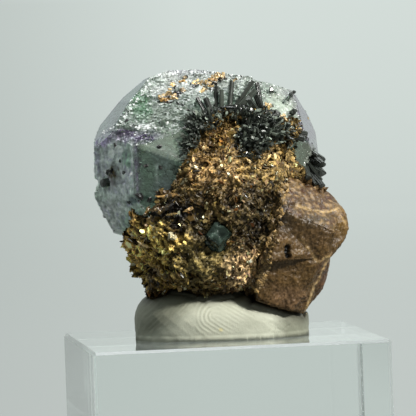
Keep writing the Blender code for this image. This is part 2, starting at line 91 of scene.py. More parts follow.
def remap(tree, value, start, stop, low=0.0, high=1.0):
    """The value, moved from one range to another."""
    ends = {"Value": value, "From Min": start, "From Max": stop, "To Min": low, "To Max": high}
    return add_node(tree, "MapRange", ends).outputs["Result"]


def absorbs(finish, colour, density):
    """Light is taken up on its way through the piece, as much as density says, per metre."""
    tree = finish.node_tree
    inside = add_node(tree, "VolumeAbsorption", {"Color": (*colour, 1), "Density": density})
    tree.links.new(inside.outputs["Volume"], tree.nodes["Material Output"].inputs["Volume"])


acrylic, shader = new_finish("clear_acrylic", ACRYLIC_TONE, IOR=1.49, Transmission_Weight=1.0)
absorbs(acrylic, ACRYLIC_GREEN, ACRYLIC_DEPTH)
tree = acrylic.node_tree
place = add_node(tree, "TexCoord").outputs["Object"]
smear = add_node(tree, "TexNoise", {"Vector": place, "Scale": SMEAR_SIZE}).outputs["Fac"]
facing = add_node(tree, "NewGeometry").outputs["True Normal"]
side = add_node(tree, "SeparateXYZ", {"Vector": compute(tree, "ABSOLUTE", facing, kind="VectorMath")}).outputs
# The largest part is 1 on a side and on the top, and less on a chamfer.
flat = compute(tree, "MAXIMUM", compute(tree, "MAXIMUM", side["X"], side["Y"]), side["Z"])
ground = remap(tree, flat, 0.95, 0.75, 0.0, CHAMFER_FROST)
dull = compute(tree, "ADD", remap(tree, smear, 0.0, 1.0, 0.0, SMEAR_DULL), ground)
tree.links.new(dull, shader.inputs["Roughness"])
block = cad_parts["display_block"]
block.data.materials.clear()
block.data.materials.append(acrylic)

# Putty pad
# A lump of grey-green mineral tack, pressed by hand between the block and the rock. The fingers that
# pressed it left their ridges on its front, and it creased where it was folded.

# The specimen is turned on its block, so it is made in its own axes, in millimetres: x to the right and
# z up as the camera sees it, and y away from the camera, which looks from EYE.
SPECIMEN_TURN = math.radians(-7.35)
TO_WORLD = Matrix.Rotation(SPECIMEN_TURN, 4, "Z") @ Matrix.Scale(0.001, 4)
TO_SPECIMEN = TO_WORLD.inverted()
EYE = Vector((-1.11, -467.1, 46.2))
# Points of a solid that are nearer than this are one.
MERGED = 0.01
PUTTY_CELL = 0.1
BLOCK_TOP = 12.7
# A CAD piece stands this far off its neighbours, and its fine mesh reaches over that gap.
GAP = 0.3
# The mesh moves on past its neighbour's surface by this much.
OVERLAP = 0.05
# The fingerprint is a loop: its ridges bend round a core and then run on side by side, as the camera
# sees them. A second one slants over the left end.
PRINT_CORE = (-0.9, 14.9)
PRINT_RUN = (0.84, -0.54)
SIDE_PRINT_RUN = (0.72, 0.69)
PRINT_PITCH = 0.43
PRINT_DEPTH = 0.02
PRINT_REACH = 9.5
# How far the ridges wander off their way, and over what length.
WANDER = ((0.25, 2.6), (0.05, 0.9))
# Between these places the loop fades in towards the right, and the print beside it towards the left.
LOOP_START = (-3.4, -2.2)
SIDE_PRINT_START = (-2.9, -4.1)
SIDE_PRINT_SHARE = 0.8
CREASES = (((5.2, 12.9), (6.3, 14.1)), ((6.4, 12.9), (7.3, 13.7)), ((5.9, 13.3), (6.6, 13.0)))
CREASE_WIDTH = 0.1
CREASE_DEPTH = 0.09
# The prints and creases come in between these heights.
FOOT_RISE = (13.2, 14.0)
# The putty's foot is squeezed out by this much, and the rim of its top stays clear of the rock.
FOOT_FLARE = 0.1
FLARE_HEIGHTS = (13.3, 13.0)
PUTTY_RIM = 0.7
# A pale yellow speck on the front, as the camera sees it.
SPECK = (-0.2, 13.4)
# The left end is painted darker as the rock's shadow beyond this line, given by a point and a direction
# as the camera sees them.
SHADOW_LINE = ((-0.9, 16.9), (-0.86, -0.51))
# The right end is painted darker as the feldspar's shadow from the first place on, and fully from the second.
SHADOWED_RIGHT = (5.4, 7.0)
# How far the painted shade reaches from the rock and the feldspar.
CONTACT_SHADE_REACH = 0.9
PUTTY_TONE = tone(186, 189, 171)
PUTTY_STAIN = tone(156, 157, 138)
# The print's grooves are painted darker, as shade in them.
GROOVE_SHADE_TONE = tone(150, 148, 126)
# Painted shadow on both ends.
PAINTED_SHADOW_TONE = tone(100, 102, 86)
SPECK_TONE = tone(196, 186, 130)
# Painted shade where the putty holds the rock and the feldspar.
CONTACT_SHADE_TONE = tone(44, 40, 28)


def new_object(name, data):
    """A new object in the scene."""
    made = bpy.data.objects.new(name, data)
    bpy.context.scene.collection.objects.link(made)
    return made


def solid_of(node):
    """A CAD node as one closed form, in the specimen's axes."""
    form = bmesh.new()
    form.from_mesh(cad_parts[node].data)
    form.transform(TO_SPECIMEN)
    bmesh.ops.remove_doubles(form, verts=form.verts, dist=MERGED)
    return form


def solid_surface(node):
    """A CAD node's surface, for finding places on it."""
    form = solid_of(node)
    surface = BVHTree.FromBMesh(form)
    form.free()
    return surface


def fine_mesh(node, cell, crisp=False):
    """A CAD node's surface in even faces, a cell wide. If crisp, it keeps its edges."""
    form = solid_of(node)
    mesh = bpy.data.meshes.new("fine")
    form.to_mesh(mesh)
    form.free()
    holder = new_object("fine", mesh)
    remesh = holder.modifiers.new("Fine", "REMESH")
    if crisp:
        remesh.mode = "SHARP"
        remesh.octree_depth = 8
        remesh.scale = max(holder.dimensions) / (cell * 2 ** remesh.octree_depth)
    else:
        remesh.mode = "VOXEL"
        remesh.voxel_size = cell
    graph = bpy.context.evaluated_depsgraph_get()
    result = bpy.data.meshes.new_from_object(holder.evaluated_get(graph))
    bpy.data.objects.remove(holder)
    return result


def read_points(mesh, kind="co"):
    flat = np.empty(len(mesh.vertices) * 3, np.float32)
    mesh.vertices.foreach_get(kind, flat)
    return flat.reshape(-1, 3).astype(float)


def set_points(mesh, points):
    mesh.vertices.foreach_set("co", points.astype(np.float32).ravel())
    mesh.update()


def nearest_of(spots):
    """The places, for finding the nearest one."""
    found = KDTree(len(spots))
    for number, spot in enumerate(spots):
        found.insert(spot, number)
    found.balance()
    return found


def close_gap(mesh, *neighbours, rim=0.0):
    """Moves the surface over the gap that it faces a neighbour across, and less so along its rim."""
    points = read_points(mesh)
    normals = read_points(mesh, "normal")
    for node in neighbours:
        surface = solid_surface(node)
        moves = np.zeros(len(points))
        for number, (point, normal) in enumerate(zip(points, normals)):
            spot, _, _, gap = surface.find_nearest(point, 2 * GAP)
            if spot is not None and (spot - Vector(point)).dot(normal) > 0.6 * gap:
                moves[number] = gap + OVERLAP
        if rim:
            free = nearest_of(points[moves == 0])
            for number in np.flatnonzero(moves):
                moves[number] *= min(1.0, free.find(points[number])[2] / rim)
        points += normals * moves[:, None]
    set_points(mesh, points)


def fine_surface(node, cell, *neighbours, crisp=False, rim=0.0):
    """A CAD node's fine mesh, moved over its gaps, with its points and which way it faces at each."""
    mesh = fine_mesh(node, cell, crisp)
    close_gap(mesh, *neighbours, rim=rim)
    return mesh, read_points(mesh), read_points(mesh, "normal")


def surface_of(mesh):
    """A mesh's surface, for finding places on it."""
    rings = [list(face.vertices) for face in mesh.polygons]
    return BVHTree.FromPolygons([tuple(vertex.co) for vertex in mesh.vertices], rings)


def relief(points, size, measure=noise.noise):
    """What a noise measures at each point, with its features about a size wide."""
    return np.array([measure(Vector(point)) for point in points / size])


def lumps(points, kinds):
    """Reliefs added up: how high each one is, and how wide its features are."""
    return sum(high * relief(points, wide) for high, wide in kinds)


def as_seen(points):
    """Where the camera sees each point on the upright plane through the specimen's middle."""
    share = EYE.y / (EYE.y - points[:, 1])
    return EYE.x + (points[:, 0] - EYE.x) * share, EYE.z + (points[:, 2] - EYE.z) * share


def beside(across, up, start, run):
    """How far each point is along a straight line from its start, and how far off it."""
    right = across - start[0]
    over = up - start[1]
    return right * run[0] + over * run[1], right * run[1] - over * run[0]


def ramp(values, start, stop):
    """A share that goes from 0 at start to 1 at stop."""
    return np.clip((values - start) / (stop - start), 0, 1)


def tint(mesh, colours):
    """Writes a colour for each point, which the finish reads."""
    layer = mesh.color_attributes.new("tint", "FLOAT_COLOR", "POINT")
    values = np.ones((len(mesh.vertices), 4), np.float32)
    values[:, :3] = np.clip(colours, 0, 1)
    layer.data.foreach_set("color", values.ravel())


def blend_tones(colours, *layers):
    """Moves each point's colour to another one, by its share, for each layer in turn."""
    for other, share in layers:
        share = np.clip(share, 0, 1)[:, None]
        colours = colours * (1 - share) + np.array(other) * share
    return colours


def add_piece(name, mesh, finish, slot, *replaced, smooth=False):
    """A finished piece, brought from the specimen's axes to its place."""
    mesh.name = name
    mesh.transform(TO_WORLD)
    mesh.materials.clear()
    mesh.materials.append(finish)
    if smooth:
        mesh.shade_smooth()
    else:
        mesh.shade_flat()
    piece = new_object(name, mesh)
    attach(piece, "root")
    if replaced:
        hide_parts(*replaced)


def new_group(name, numbers):
    """A node group that changes a colour and the way a surface faces. Gives its inputs and a place too."""
    group = bpy.data.node_groups.new(name, "ShaderNodeTree")
    for key in numbers:
        group.interface.new_socket(key, in_out="INPUT", socket_type="NodeSocketFloat")
    group.interface.new_socket("Colour", in_out="INPUT", socket_type="NodeSocketColor")
    group.interface.new_socket("Colour", in_out="OUTPUT", socket_type="NodeSocketColor")
    group.interface.new_socket("Normal", in_out="OUTPUT", socket_type="NodeSocketVector")
    return group, group.nodes.new("NodeGroupInput").outputs, add_node(group, "TexCoord").outputs["Object"]


def end_group(group, colour, normal):
    """Joins a group's results to its outputs."""
    out = group.nodes.new("NodeGroupOutput")
    group.links.new(colour, out.inputs["Colour"])
    group.links.new(normal, out.inputs["Normal"])
    return group


def grain_group():
    """Fine grain: a bump, and a share of darker specks, on a surface."""
    group, given, place = new_group("grain", ("Size", "Depth", "Specks"))
    scale = {"Vector": place, "Scale": given["Size"], "Detail": 6.0, "Roughness": 0.7}
    rough = add_node(group, "TexNoise", scale).outputs["Fac"]
    share = compute(group, "MULTIPLY", remap(group, rough, 0.5, 0.3), given["Specks"])
    dark = add_node(group, "Mix", {"Factor": share}, data_type="RGBA")
    group.links.new(given["Colour"], dark.inputs[6])
    dark.inputs[7].default_value = (0.01, 0.008, 0.005, 1)
    bump = add_node(group, "Bump", {"Strength": 1.0, "Distance": given["Depth"], "Height": rough})
    return end_group(group, dark.outputs[2], bump.outputs["Normal"])


GRAIN = grain_group()


def tinted(finish):
    """The colour that was written on the piece."""
    return add_node(finish.node_tree, "VertexColor", layer_name="tint").outputs["Color"]


def textured(finish, shader, group, **numbers):
    """Gives a finish the colour that was written on the piece, and a group's texture. Sizes are per metre."""
    tree = finish.node_tree
    made = add_node(tree, "Group", {"Colour": tinted(finish), **numbers}, node_tree=group)
    tree.links.new(made.outputs["Colour"], shader.inputs["Base Color"])
    tree.links.new(made.outputs["Normal"], shader.inputs["Normal"])


def nearness(points, reach, *nodes):
    """A share of 1 where a solid touches, which fades over that reach."""
    near = np.full(len(points), np.inf)
    for node in nodes:
        surface = solid_surface(node)
        near = np.minimum(near, [surface.find_nearest(point)[3] for point in points])
    return np.exp(-((near / reach) ** 2))


putty_mesh, points, normals = fine_surface(
    "putty_pad", PUTTY_CELL, "mica_matrix", "feldspar", rim=PUTTY_RIM
)
across, up = as_seen(points)
front = points[:, 1] < 0
wander = lumps(points, WANDER)
# Past its core the loop's ridges run straight, and round it they bend.
along, off = beside(across, up, PRINT_CORE, PRINT_RUN)
loop = np.where(along > 0, np.abs(off), np.hypot(along, off)) + wander
slant = beside(across, up, (0, 0), SIDE_PRINT_RUN)[1] + wander
reach = np.hypot(across - PRINT_CORE[0], 1.2 * (up - PRINT_CORE[1])) / PRINT_REACH
pressed = np.clip(0.75 + 1.3 * relief(points + 17.0, 2.2), 0, 1) * front
fade = np.clip(1.3 - 1.3 * reach, 0, 1) * ramp(across, *LOOP_START) * pressed
left_print = ramp(across, *SIDE_PRINT_START) * ramp(up, *FOOT_RISE) * pressed
ridges = np.sin(2 * math.pi * loop / PRINT_PITCH) * fade
ridges += SIDE_PRINT_SHARE * np.sin(2 * math.pi * slant / PRINT_PITCH) * left_print
depth = PRINT_DEPTH * ridges + 0.05 * relief(points, 1.6)
for low, high in CREASES:
    way = np.subtract(high, low)
    length = np.linalg.norm(way)
    along, off = beside(across, up, low, way / length)
    there = (along > 0) * (along < length) * front
    depth -= CREASE_DEPTH * there * np.exp(-((off / CREASE_WIDTH) ** 2)) * (1 - 0.5 * along / length)
points += normals * (depth * ramp(points[:, 2], *FOOT_RISE))[:, None]
squeezed = FOOT_FLARE * ramp(points[:, 2], *FLARE_HEIGHTS) * (1 + relief(points, 1.2))
sideways = normals * np.array((1, 1, 0)) * (np.abs(normals[:, 2:]) < 0.8)
points += sideways * squeezed[:, None]
points[points[:, 2] < BLOCK_TOP + GAP + 0.12, 2] = BLOCK_TOP + 0.01
set_points(putty_mesh, points)
grooves = np.clip(-depth / PRINT_DEPTH, 0, 1) * (fade + left_print)
beyond = beside(across, up, *SHADOW_LINE)[1] + 0.4 * relief(points, 2.0)
speck = np.hypot(across - SPECK[0], up - SPECK[1]) + 0.06 * relief(points, 0.4)
# The print's grooves are painted darker as shade in them, both ends are painted darker as the shadows of the
# rock and the feldspar, and it is painted darker as shade where it holds the rock and the feldspar.
colours = blend_tones(
    np.tile(PUTTY_TONE, (len(points), 1)),
    (PUTTY_STAIN, 0.35 * (relief(points, 1.6) + 0.4)),
    (GROOVE_SHADE_TONE, 0.3 * grooves),
    (PAINTED_SHADOW_TONE, 0.8 * (ramp(across, *SHADOWED_RIGHT) + np.clip(0.3 + beyond / 1.4, 0, 1))),
    (SPECK_TONE, np.clip(2.2 - 9.0 * speck, 0, 0.7) * front),
    (CONTACT_SHADE_TONE, 0.9 * nearness(points, CONTACT_SHADE_REACH, "mica_matrix", "feldspar")),
)
tint(putty_mesh, colours)
putty, shader = new_finish("mineral_tack", PUTTY_TONE, Roughness=0.62, Specular_IOR_Level=0.35)
textured(putty, shader, GRAIN, Size=2600.0, Depth=0.00004, Specks=0.04)
add_piece("putty", putty_mesh, putty, "putty", "putty_pad", smooth=True)

# Mica rock
# One natural lump of mica books with quartz and dark grains between them: golden brown in its upper half,
# olive and gold at the lower left, and a pale granular patch low in its middle.

ROCK_CELL = 0.14
ROCK_SEED = 5
# A coloured part of the rock: its middle and half its size as the camera sees them, and its colour as a
# screen shows it. The tables below give colours in the same way.
ROCK_PARTS = {
    "dark_middle": ((-4.8, 26.6), (4.2, 2.0), (18, 14, 6)),
    "dark_right": ((3.4, 27.0), (3.6, 3.0), (74, 63, 42)),
    "dark_low_right": ((4.0, 23.8), (3.0, 2.0), (58, 50, 34)),
    "olive_low": ((-6.3, 21.8), (3.8, 2.9), (204, 174, 98)),
    "gold_left": ((-9.4, 23.0), (1.3, 2.2), (222, 182, 102)),
    "brown_foot": ((-7.2, 18.6), (1.6, 2.0), (84, 68, 40)),
    "gold_top": ((-0.2, 31.2), (3.6, 2.8), (138, 112, 72)),
    "gold_tongue": ((0.2, 34.8), (1.5, 1.8), (122, 96, 56)),
    "gold_right": ((6.2, 31.4), (3.2, 2.2), (132, 110, 68)),
    "grey_low": ((-2.6, 20.8), (3.2, 2.4), (118, 104, 64)),
    "pale_patch": ((2.6, 19.3), (1.9, 3.0), (192, 162, 118)),
    "dark_low": ((-1.4, 24.4), (2.6, 1.4), (60, 53, 34)),
}
ROCK_TONE = tone(98, 82, 50)
ROCK_WAVER = 1.3
# How much and how widely a part's border wavers.
WAVERS = ((1.0, 1.8), (0.5, 0.7))
# How far the broad, small and tiny lumps and the leaves stand out, and how far the last three differ in
# shade.
ROCK_HEIGHTS = (0.22, 0.2, 0.12, 0.38)
ROCK_SHADES = (0.9, 0.8, 1.5)
ROCK_SUNK = 0.12
# Turns a place to along, behind and over the leaves, and counts it in a leaf's length, depth and thickness.
LEAF_TURN = np.array(((0.82, 0, 0.57), (0, 1, 0), (-0.57, 0, 0.82))) / np.array((2.4, 1.2, 0.32))
# Where the leaves come in and where they are whole: to the left, and downwards.
LEAVES_LEFT = (-2.0, -5.0)
LEAVES_UNDER = (27.5, 25.5)
# Painted shade in the crevices and where the rock sits in the putty.
CREVICE_SHADE_TONE = tone(16, 12, 6)


def weigh(weights, *layers):
    """The layers added up, each by its weight."""
    total = weights[0] * layers[0]
    for weight, layer in zip(weights[1:], layers[1:]):
        total = total + weight * layer
    return total


def paint_parts(points, ground, parts, waver):
    """Colours the points part by part, as the camera sees them, with wavering borders."""
    across, up = as_seen(points)
    across = across + waver * lumps(points, WAVERS)
    up = up + waver * lumps(points + 31.0, WAVERS)
    colours = np.tile(ground, (len(points), 1))
    for (middle_x, middle_z), (half_x, half_z), colour in parts.values():
        away = np.hypot((across - middle_x) / half_x, (up - middle_z) / half_z)
        colours = blend_tones(colours, (tone(*colour), 1.6 - 1.25 * away))
    return colours


def ridged(point):
    return noise.ridged_multi_fractal(point, 0.8, 2.1, 4, 1.0, 1.6)


def glint_group(name, metric):
    """Small flat facets, each with its own tilt and shade, that flash one by one."""
    group, given, place = new_group(name, ("Size", "Tilt", "Shade"))
    cells = add_node(group, "TexVoronoi", {"Vector": place, "Scale": given["Size"]}, distance=metric)
    colour = cells.outputs["Color"]
    centred = compute(group, "SUBTRACT", colour, (0.5, 0.5, 0.5), kind="VectorMath")
    tilt = compute(group, "SCALE", centred, kind="VectorMath", Scale=given["Tilt"])
    facing = add_node(group, "NewGeometry").outputs["Normal"]
    tilted = compute(group, "ADD", facing, tilt, kind="VectorMath")
    even = compute(group, "NORMALIZE", tilted, kind="VectorMath")
    red = add_node(group, "SeparateColor", {"Color": colour}).outputs["Red"]
    swing = compute(group, "MULTIPLY", compute(group, "SUBTRACT", red, 0.45), given["Shade"])
    shade = compute(group, "ADD", swing, 1.0)
    bright = compute(group, "SCALE", given["Colour"], kind="VectorMath", Scale=shade)
    return end_group(group, bright, even)


GLINT = glint_group("glint", "EUCLIDEAN")

rock_mesh, points, normals = fine_surface(
    "mica_matrix", ROCK_CELL, "fluorite", "feldspar", "small_fluorite", "schorl_spray", "schorl_fan"
)
broad = relief(points, 2.1, ridged)
small = relief(points, 0.7)
tiny = relief(points, 0.32)
# The books at the lower left lie in leaves that run down to the right.
leaves = ramp(points[:, 0], *LEAVES_LEFT) * ramp(points[:, 2], *LEAVES_UNDER)
leaves *= relief(points @ LEAF_TURN, 1.0)
height = weigh(ROCK_HEIGHTS, broad - broad.mean(), small, tiny, leaves)
points += normals * (height - ROCK_SUNK)[:, None]
set_points(rock_mesh, points)
colours = paint_parts(points, ROCK_TONE, ROCK_PARTS, ROCK_WAVER)
colours *= np.exp(weigh(ROCK_SHADES, small, tiny, leaves))[:, None]
# Low points are painted darker as shade in the crevices, and the rock is painted darker as shade where it
# sits in the putty.
painted_shade = (CREVICE_SHADE_TONE, 0.3 - 2.4 * height), (CREVICE_SHADE_TONE, 0.8 * nearness(points, 1.1, "putty_pad"))
tint(rock_mesh, blend_tones(colours, *painted_shade))
rock, shader = new_finish("mica_rock", ROCK_TONE, Roughness=0.42, Specular_IOR_Level=0.22)
textured(rock, shader, GLINT, Size=5200.0, Tilt=1.1, Shade=1.3)
rock_surface = surface_of(rock_mesh)
rock_normals = read_points(rock_mesh, "normal")
add_piece("rock", rock_mesh, rock, "mica_rock", "mica_matrix")

# Mica flakes
# Thin flakes that stand out of the rock on edge or lie on it, in books that share one direction. Each is
# bronze, golden or olive, and catches the light on its flat side. A few books are much larger and paler.

FLAKES = 9500
FLAKE_SIZE = (0.08, 0.52)
FLAKE_THICKNESS = (0.02, 0.05)
BOOK_SIZE = 1.5
# More places are drawn than flakes, because some lie under a neighbour.
SPARE_PLACES = 1.7
# How much a flake keeps to its book's direction and to the rock's surface, and how far it strays.
FLAKE_ORDER = (2.0, 0.35)
FLAKE_STRAY = 0.25
# How thick a pale book or a blade is, for its width, and how far it is lifted and tilted to the camera.
BOOK_THICKNESS = 0.7
BOOK_LIFT = 0.6
BOOK_TILT = 1.5
# Some flakes are cream, rust-red, dark or grey: the share and the colour of each kind.
OTHER_FLAKES = ((0.06, (176, 154, 108)), (0.05, (108, 74, 44)), (0.12, (46, 36, 20)), (0.05, (112, 108, 90)))
# A large pale book or grain: where the camera sees its middle, half its length and its width, the way
# that it runs, in degrees, and its colour.
PALE_BOOKS = (
    ((-3.3, 26.6), (0.7, 0.2), 20, (150, 122, 78)),
    ((-3.7, 29.6), (0.5, 0.3), 25, (156, 150, 122)),
    ((-3.4, 29.9), (0.36, 0.24), -30, (132, 124, 96)),
    ((-2.3, 31.2), (0.42, 0.22), -45, (232, 220, 184)),
    ((-3.9, 30.8), (0.5, 0.2), -50, (196, 172, 118)),
    ((-5.3, 23.9), (0.5, 0.36), 60, (190, 180, 146)),
    ((-5.0, 23.6), (0.45, 0.3), 20, (170, 158, 120)),
    ((-5.5, 23.5), (0.34, 0.22), -30, (150, 132, 92)),
    ((-7.4, 24.9), (0.4, 0.24), 40, (176, 166, 128)),
    ((-7.1, 24.7), (0.36, 0.2), 75, (148, 134, 94)),
    ((-9.4, 24.1), (0.4, 0.24), -60, (190, 182, 150)),
    ((-8.3, 23.0), (0.9, 0.2), -30, (196, 168, 116)),
    ((-7.0, 22.4), (0.8, 0.16), -35, (176, 146, 92)),
    ((1.9, 29.9), (0.5, 0.16), 15, (206, 184, 140)),
    ((2.6, 33.2), (0.5, 0.2), 60, (236, 216, 170)),
    ((4.6, 33.0), (0.8, 0.22), -38, (190, 160, 96)),
    ((3.6, 31.6), (0.7, 0.18), -50, (210, 180, 124)),
    ((5.6, 31.9), (0.6, 0.16), 55, (214, 178, 116)),
    ((0.4, 31.2), (0.35, 0.2), 30, (230, 200, 148)),
    ((7.6, 31.0), (0.4, 0.18), -20, (188, 160, 104)),
    ((-1.4, 33.2), (0.4, 0.16), 70, (196, 172, 122)),
)


def strew(grain, places, tones):
    """One mesh of a small form at many places, each with its own colour. The form is used up."""
    corners = np.array([(*vertex.co, 1) for vertex in grain.verts])
    rings = [[vertex.index for vertex in face.verts] for face in grain.faces]
    grain.free()
    spots = np.einsum("nij,kj->nki", np.array(places), corners)[:, :, :3].reshape(-1, 3)
    faces = []
    for number in range(len(places)):
        faces += [[number * len(corners) + corner for corner in ring] for ring in rings]
    mesh = bpy.data.meshes.new("strewn")
    mesh.from_pydata(spots.tolist(), [], faces)
    tint(mesh, np.repeat(np.array(tones), len(corners), axis=0))
    return mesh


def flake_form():
    form = bmesh.new()
    bmesh.ops.create_cone(form, cap_ends=True, segments=5, radius1=1.0, radius2=0.92, depth=1.0)
    return form


def crumb_form(seed):
    """An angular grain about one unit in radius."""
    form = bmesh.new()
    bmesh.ops.create_icosphere(form, subdivisions=1, radius=1.0)
    for vertex in form.verts:
        vertex.co *= 0.85 + 0.35 * noise.cell(vertex.co * 1.9 + Vector((seed, 0, 0)))
    return form


def place_grain(spot, axis, turn, width, depth, height):
    """Stands a grain at a spot, its own z along an axis, with these sizes along its own x, y and z."""
    stand = Matrix.Translation(spot) @ axis.to_track_quat("Z", "Y").to_matrix().to_4x4()
    return stand @ Matrix.Rotation(turn, 4, "Z") @ Matrix.Diagonal((width, depth, height, 1))


def any_turn(chance):
    """A heading by chance, up to about a full turn."""
    return chance.uniform(0, 6.3)


def bare_spots(points, *neighbours):
    """Whether each point is clear of the neighbours that would hide it."""
    clear = np.ones(len(points), bool)
    for node in neighbours:
        surface = solid_surface(node)
        for number, point in enumerate(points):
            spot, normal, _, gap = surface.find_nearest(point)
            if gap < GAP / 2 or (Vector(point) - spot).dot(normal) < 0:
                clear[number] = False
    return clear


def seen_spot(surfaces, across, up):
    """The nearest place that the camera sees there, and which way its surface faces, or None twice."""
    way = (Vector((across, 0, up)) - EYE).normalized()
    hits = [surface.ray_cast(EYE, way) for surface in surfaces]
    hits = [(gap, spot, normal) for spot, normal, _, gap in hits if spot is not None]
    if not hits:
        return None, None
    _, spot, normal = min(hits, key=lambda hit: hit[0])
    return spot, normal


def seen_patch(surfaces, middle, half, count, chance):
    """Places that the camera sees in an oval patch, and which way the surface faces at each."""
    found = []
    for _ in range(count):
        angle = chance.uniform(0, 2 * math.pi)
        reach = math.sqrt(chance.random())
        across = middle[0] + half[0] * reach * math.cos(angle)
        up = middle[1] + half[1] * reach * math.sin(angle)
        spot, normal = seen_spot(surfaces, across, up)
        if spot is not None:
            found.append((spot, normal))
    return found


def seen_books(surfaces, books):
    """Flat grains laid where the camera sees them, each with the way that it runs."""
    places = []
    for (across, up), (length, width), heading, _ in books:
        spot, normal = seen_spot(surfaces, across, up)
        outward = (EYE - spot).normalized()
        spot += BOOK_LIFT * width * outward
        normal = (normal + BOOK_TILT * outward).normalized()
        way = Vector((math.cos(math.radians(heading)), 0, math.sin(math.radians(heading))))
        side = normal.cross(way).normalized()
        stand = Matrix.Translation(spot) @ Matrix((side.cross(normal), side, normal)).transposed().to_4x4()
        places.append(stand @ Matrix.Diagonal((length, width, BOOK_THICKNESS * width, 1)))
    return places


def skewed(sizes, power, chance):
    """A size by chance, of which the small ones are more common."""
    return sizes[0] + (sizes[1] - sizes[0]) * chance.random() ** power


def stray(spread, chance):
    """A short way in a direction by chance."""
    return Vector([chance.gauss(0, spread) for _ in range(3)])


def shaded(colour, spread, chance):
    """A colour made lighter or darker by chance."""
    return np.array(colour) * math.exp(chance.gauss(0, spread))


chance = random.Random(ROCK_SEED)
numbers = np.array([chance.randrange(len(points)) for _ in range(int(FLAKES * SPARE_PLACES))])
numbers = numbers[bare_spots(points[numbers], "fluorite", "feldspar", "putty_pad", "small_fluorite")][:FLAKES]
spots = points[numbers]
tones = paint_parts(spots, ROCK_TONE, ROCK_PARTS, ROCK_WAVER)
places = []
shades = []
for spot, normal, colour in zip(spots, rock_normals[numbers], tones):
    spot = Vector(spot)
    normal = Vector(normal)
    book = noise.cell_vector(spot / BOOK_SIZE) - Vector((0.5, 0.5, 0.5))
    axis = (weigh(FLAKE_ORDER, book, normal) + stray(FLAKE_STRAY, chance)).normalized()
    size = skewed(FLAKE_SIZE, 2.5, chance)
    thickness = chance.uniform(*FLAKE_THICKNESS)
    spot += normal * chance.uniform(-0.5, 0.3) * size
    turn = any_turn(chance)
    places.append(place_grain(spot, axis, turn, size, size * chance.uniform(0.35, 0.9), thickness))
    bright = math.exp(chance.gauss(0.0, 0.7) + 1.5 * noise.noise(spot / 1.1))
    other = chance.random()
    for share, strange in OTHER_FLAKES:
        if other < share:
            colour = np.array(tone(*strange))
            break
        other -= share
    warmth = (1.0, chance.uniform(0.92, 1.08), chance.uniform(0.75, 1.4))
    shades.append(np.clip(colour * bright * warmth, 0, 0.8))
flake_mesh = strew(flake_form(), places, shades)
mica, shader = new_finish("mica", ROCK_TONE, Roughness=0.42, Metallic=0.45, Specular_IOR_Level=0.08)
textured(mica, shader, GRAIN, Size=3500.0, Depth=0.00003, Specks=0.3)
add_piece("mica_flakes", flake_mesh, mica, "mica_rock")

book_places = seen_books([rock_surface], PALE_BOOKS)
book_mesh = strew(crumb_form(3.0), book_places, [tone(*colour) for *_, colour in PALE_BOOKS])
pale_mica, shader = new_finish("pale_mica", ROCK_TONE, Roughness=0.35, Specular_IOR_Level=0.6)
textured(pale_mica, shader, GLINT, Size=6000.0, Tilt=0.9, Shade=1.0)
add_piece("pale_books", book_mesh, pale_mica, "mica_rock")

# Feldspar
# One blocky crystal of tan feldspar, broken along its cleavage, with rust on its glittering upper facet and
# worn edges, along which pale highlights are painted. It has grown against the rock.

FELDSPAR_CELL = 0.12
FELDSPAR_TONE = tone(94, 72, 39)
# Pale highlights painted along the facet edges.
FELDSPAR_EDGE_HIGHLIGHT = tone(160, 134, 92)
FELDSPAR_WAVER = 0.5
SPAR_RUST = tone(62, 40, 26)
SPAR_CRUST = tone(122, 100, 70)
# Painted shade in the pits.
PIT_SHADE_TONE = tone(10, 8, 4)
# How far the waves, the small and tiny lumps and the steps stand out, and how far the first three differ in
# shade.
SPAR_HEIGHTS = (0.1, 0.09, 0.05, 0.05)
SPAR_SHADES = (0.4, 0.3, 0.25)
# Edges that bend more than this are worn down, this far and over this width.
WORN_BEND = math.radians(15)
WORN_DEPTH = 0.16
WORN_WIDTH = 0.3
# A coloured part of the crystal: its middle and half its size as the camera sees them, and its colour.
FELDSPAR_PARTS = {
    "rusty_top": ((11.0, 27.3), (3.4, 1.3), (84, 64, 40)),
    "golden_right": ((13.4, 25.0), (1.1, 2.2), (112, 86, 42)),
    "golden_nose": ((10.6, 23.2), (1.5, 2.2), (94, 72, 42)),
    "dark_nose": ((11.0, 25.0), (1.8, 0.9), (80, 66, 44)),
    "brown_front": ((6.2, 21.4), (2.6, 4.6), (98, 75, 42)),
    "dark_top_left": ((6.4, 25.6), (2.0, 2.2), (54, 44, 27)),
    "dark_low_right": ((11.2, 18.2), (0.9, 2.4), (92, 66, 44)),
    "foot": ((7.4, 16.6), (2.2, 1.6), (116, 90, 62)),
}
# Three dark pits in the front, as the camera sees them, how wide and how deep.
FELDSPAR_PITS = ((7.4, 22.1), (7.45, 21.2), (7.35, 21.65))
PIT_REACH = 0.3
PIT_DEPTH = 0.5
FELDSPAR_HIGHLIGHT_WIDTH = 0.13
# Pale highlights painted where two facets meet, as the camera sees them, and how pale each one is.
FELDSPAR_HIGHLIGHT_LINES = (
    (((8.6, 26.6), (10.5, 26.0), (12.1, 25.8), (12.9, 26.1)), 0.7),
    (((9.0, 22.9), (10.6, 20.4), (11.9, 21.0)), 0.55),
    (((11.8, 20.9), (10.0, 17.4), (9.1, 15.2)), 0.8),
    (((12.9, 26.1), (13.8, 24.4)), 0.5),
)


def line_share(across, up, line, width, wobble):
    """How near each point is to a bent line, as the camera sees them: 1 on the line."""
    near = np.full(len(across), np.inf)
    for low, high in zip(line, line[1:]):
        way = np.subtract(high, low)
        length = np.linalg.norm(way)
        along, off = beside(across, up, low, way / length)
        near = np.minimum(near, np.hypot(along - np.clip(along, 0, length), off))
    return np.exp(-((near + wobble) / width) ** 2)


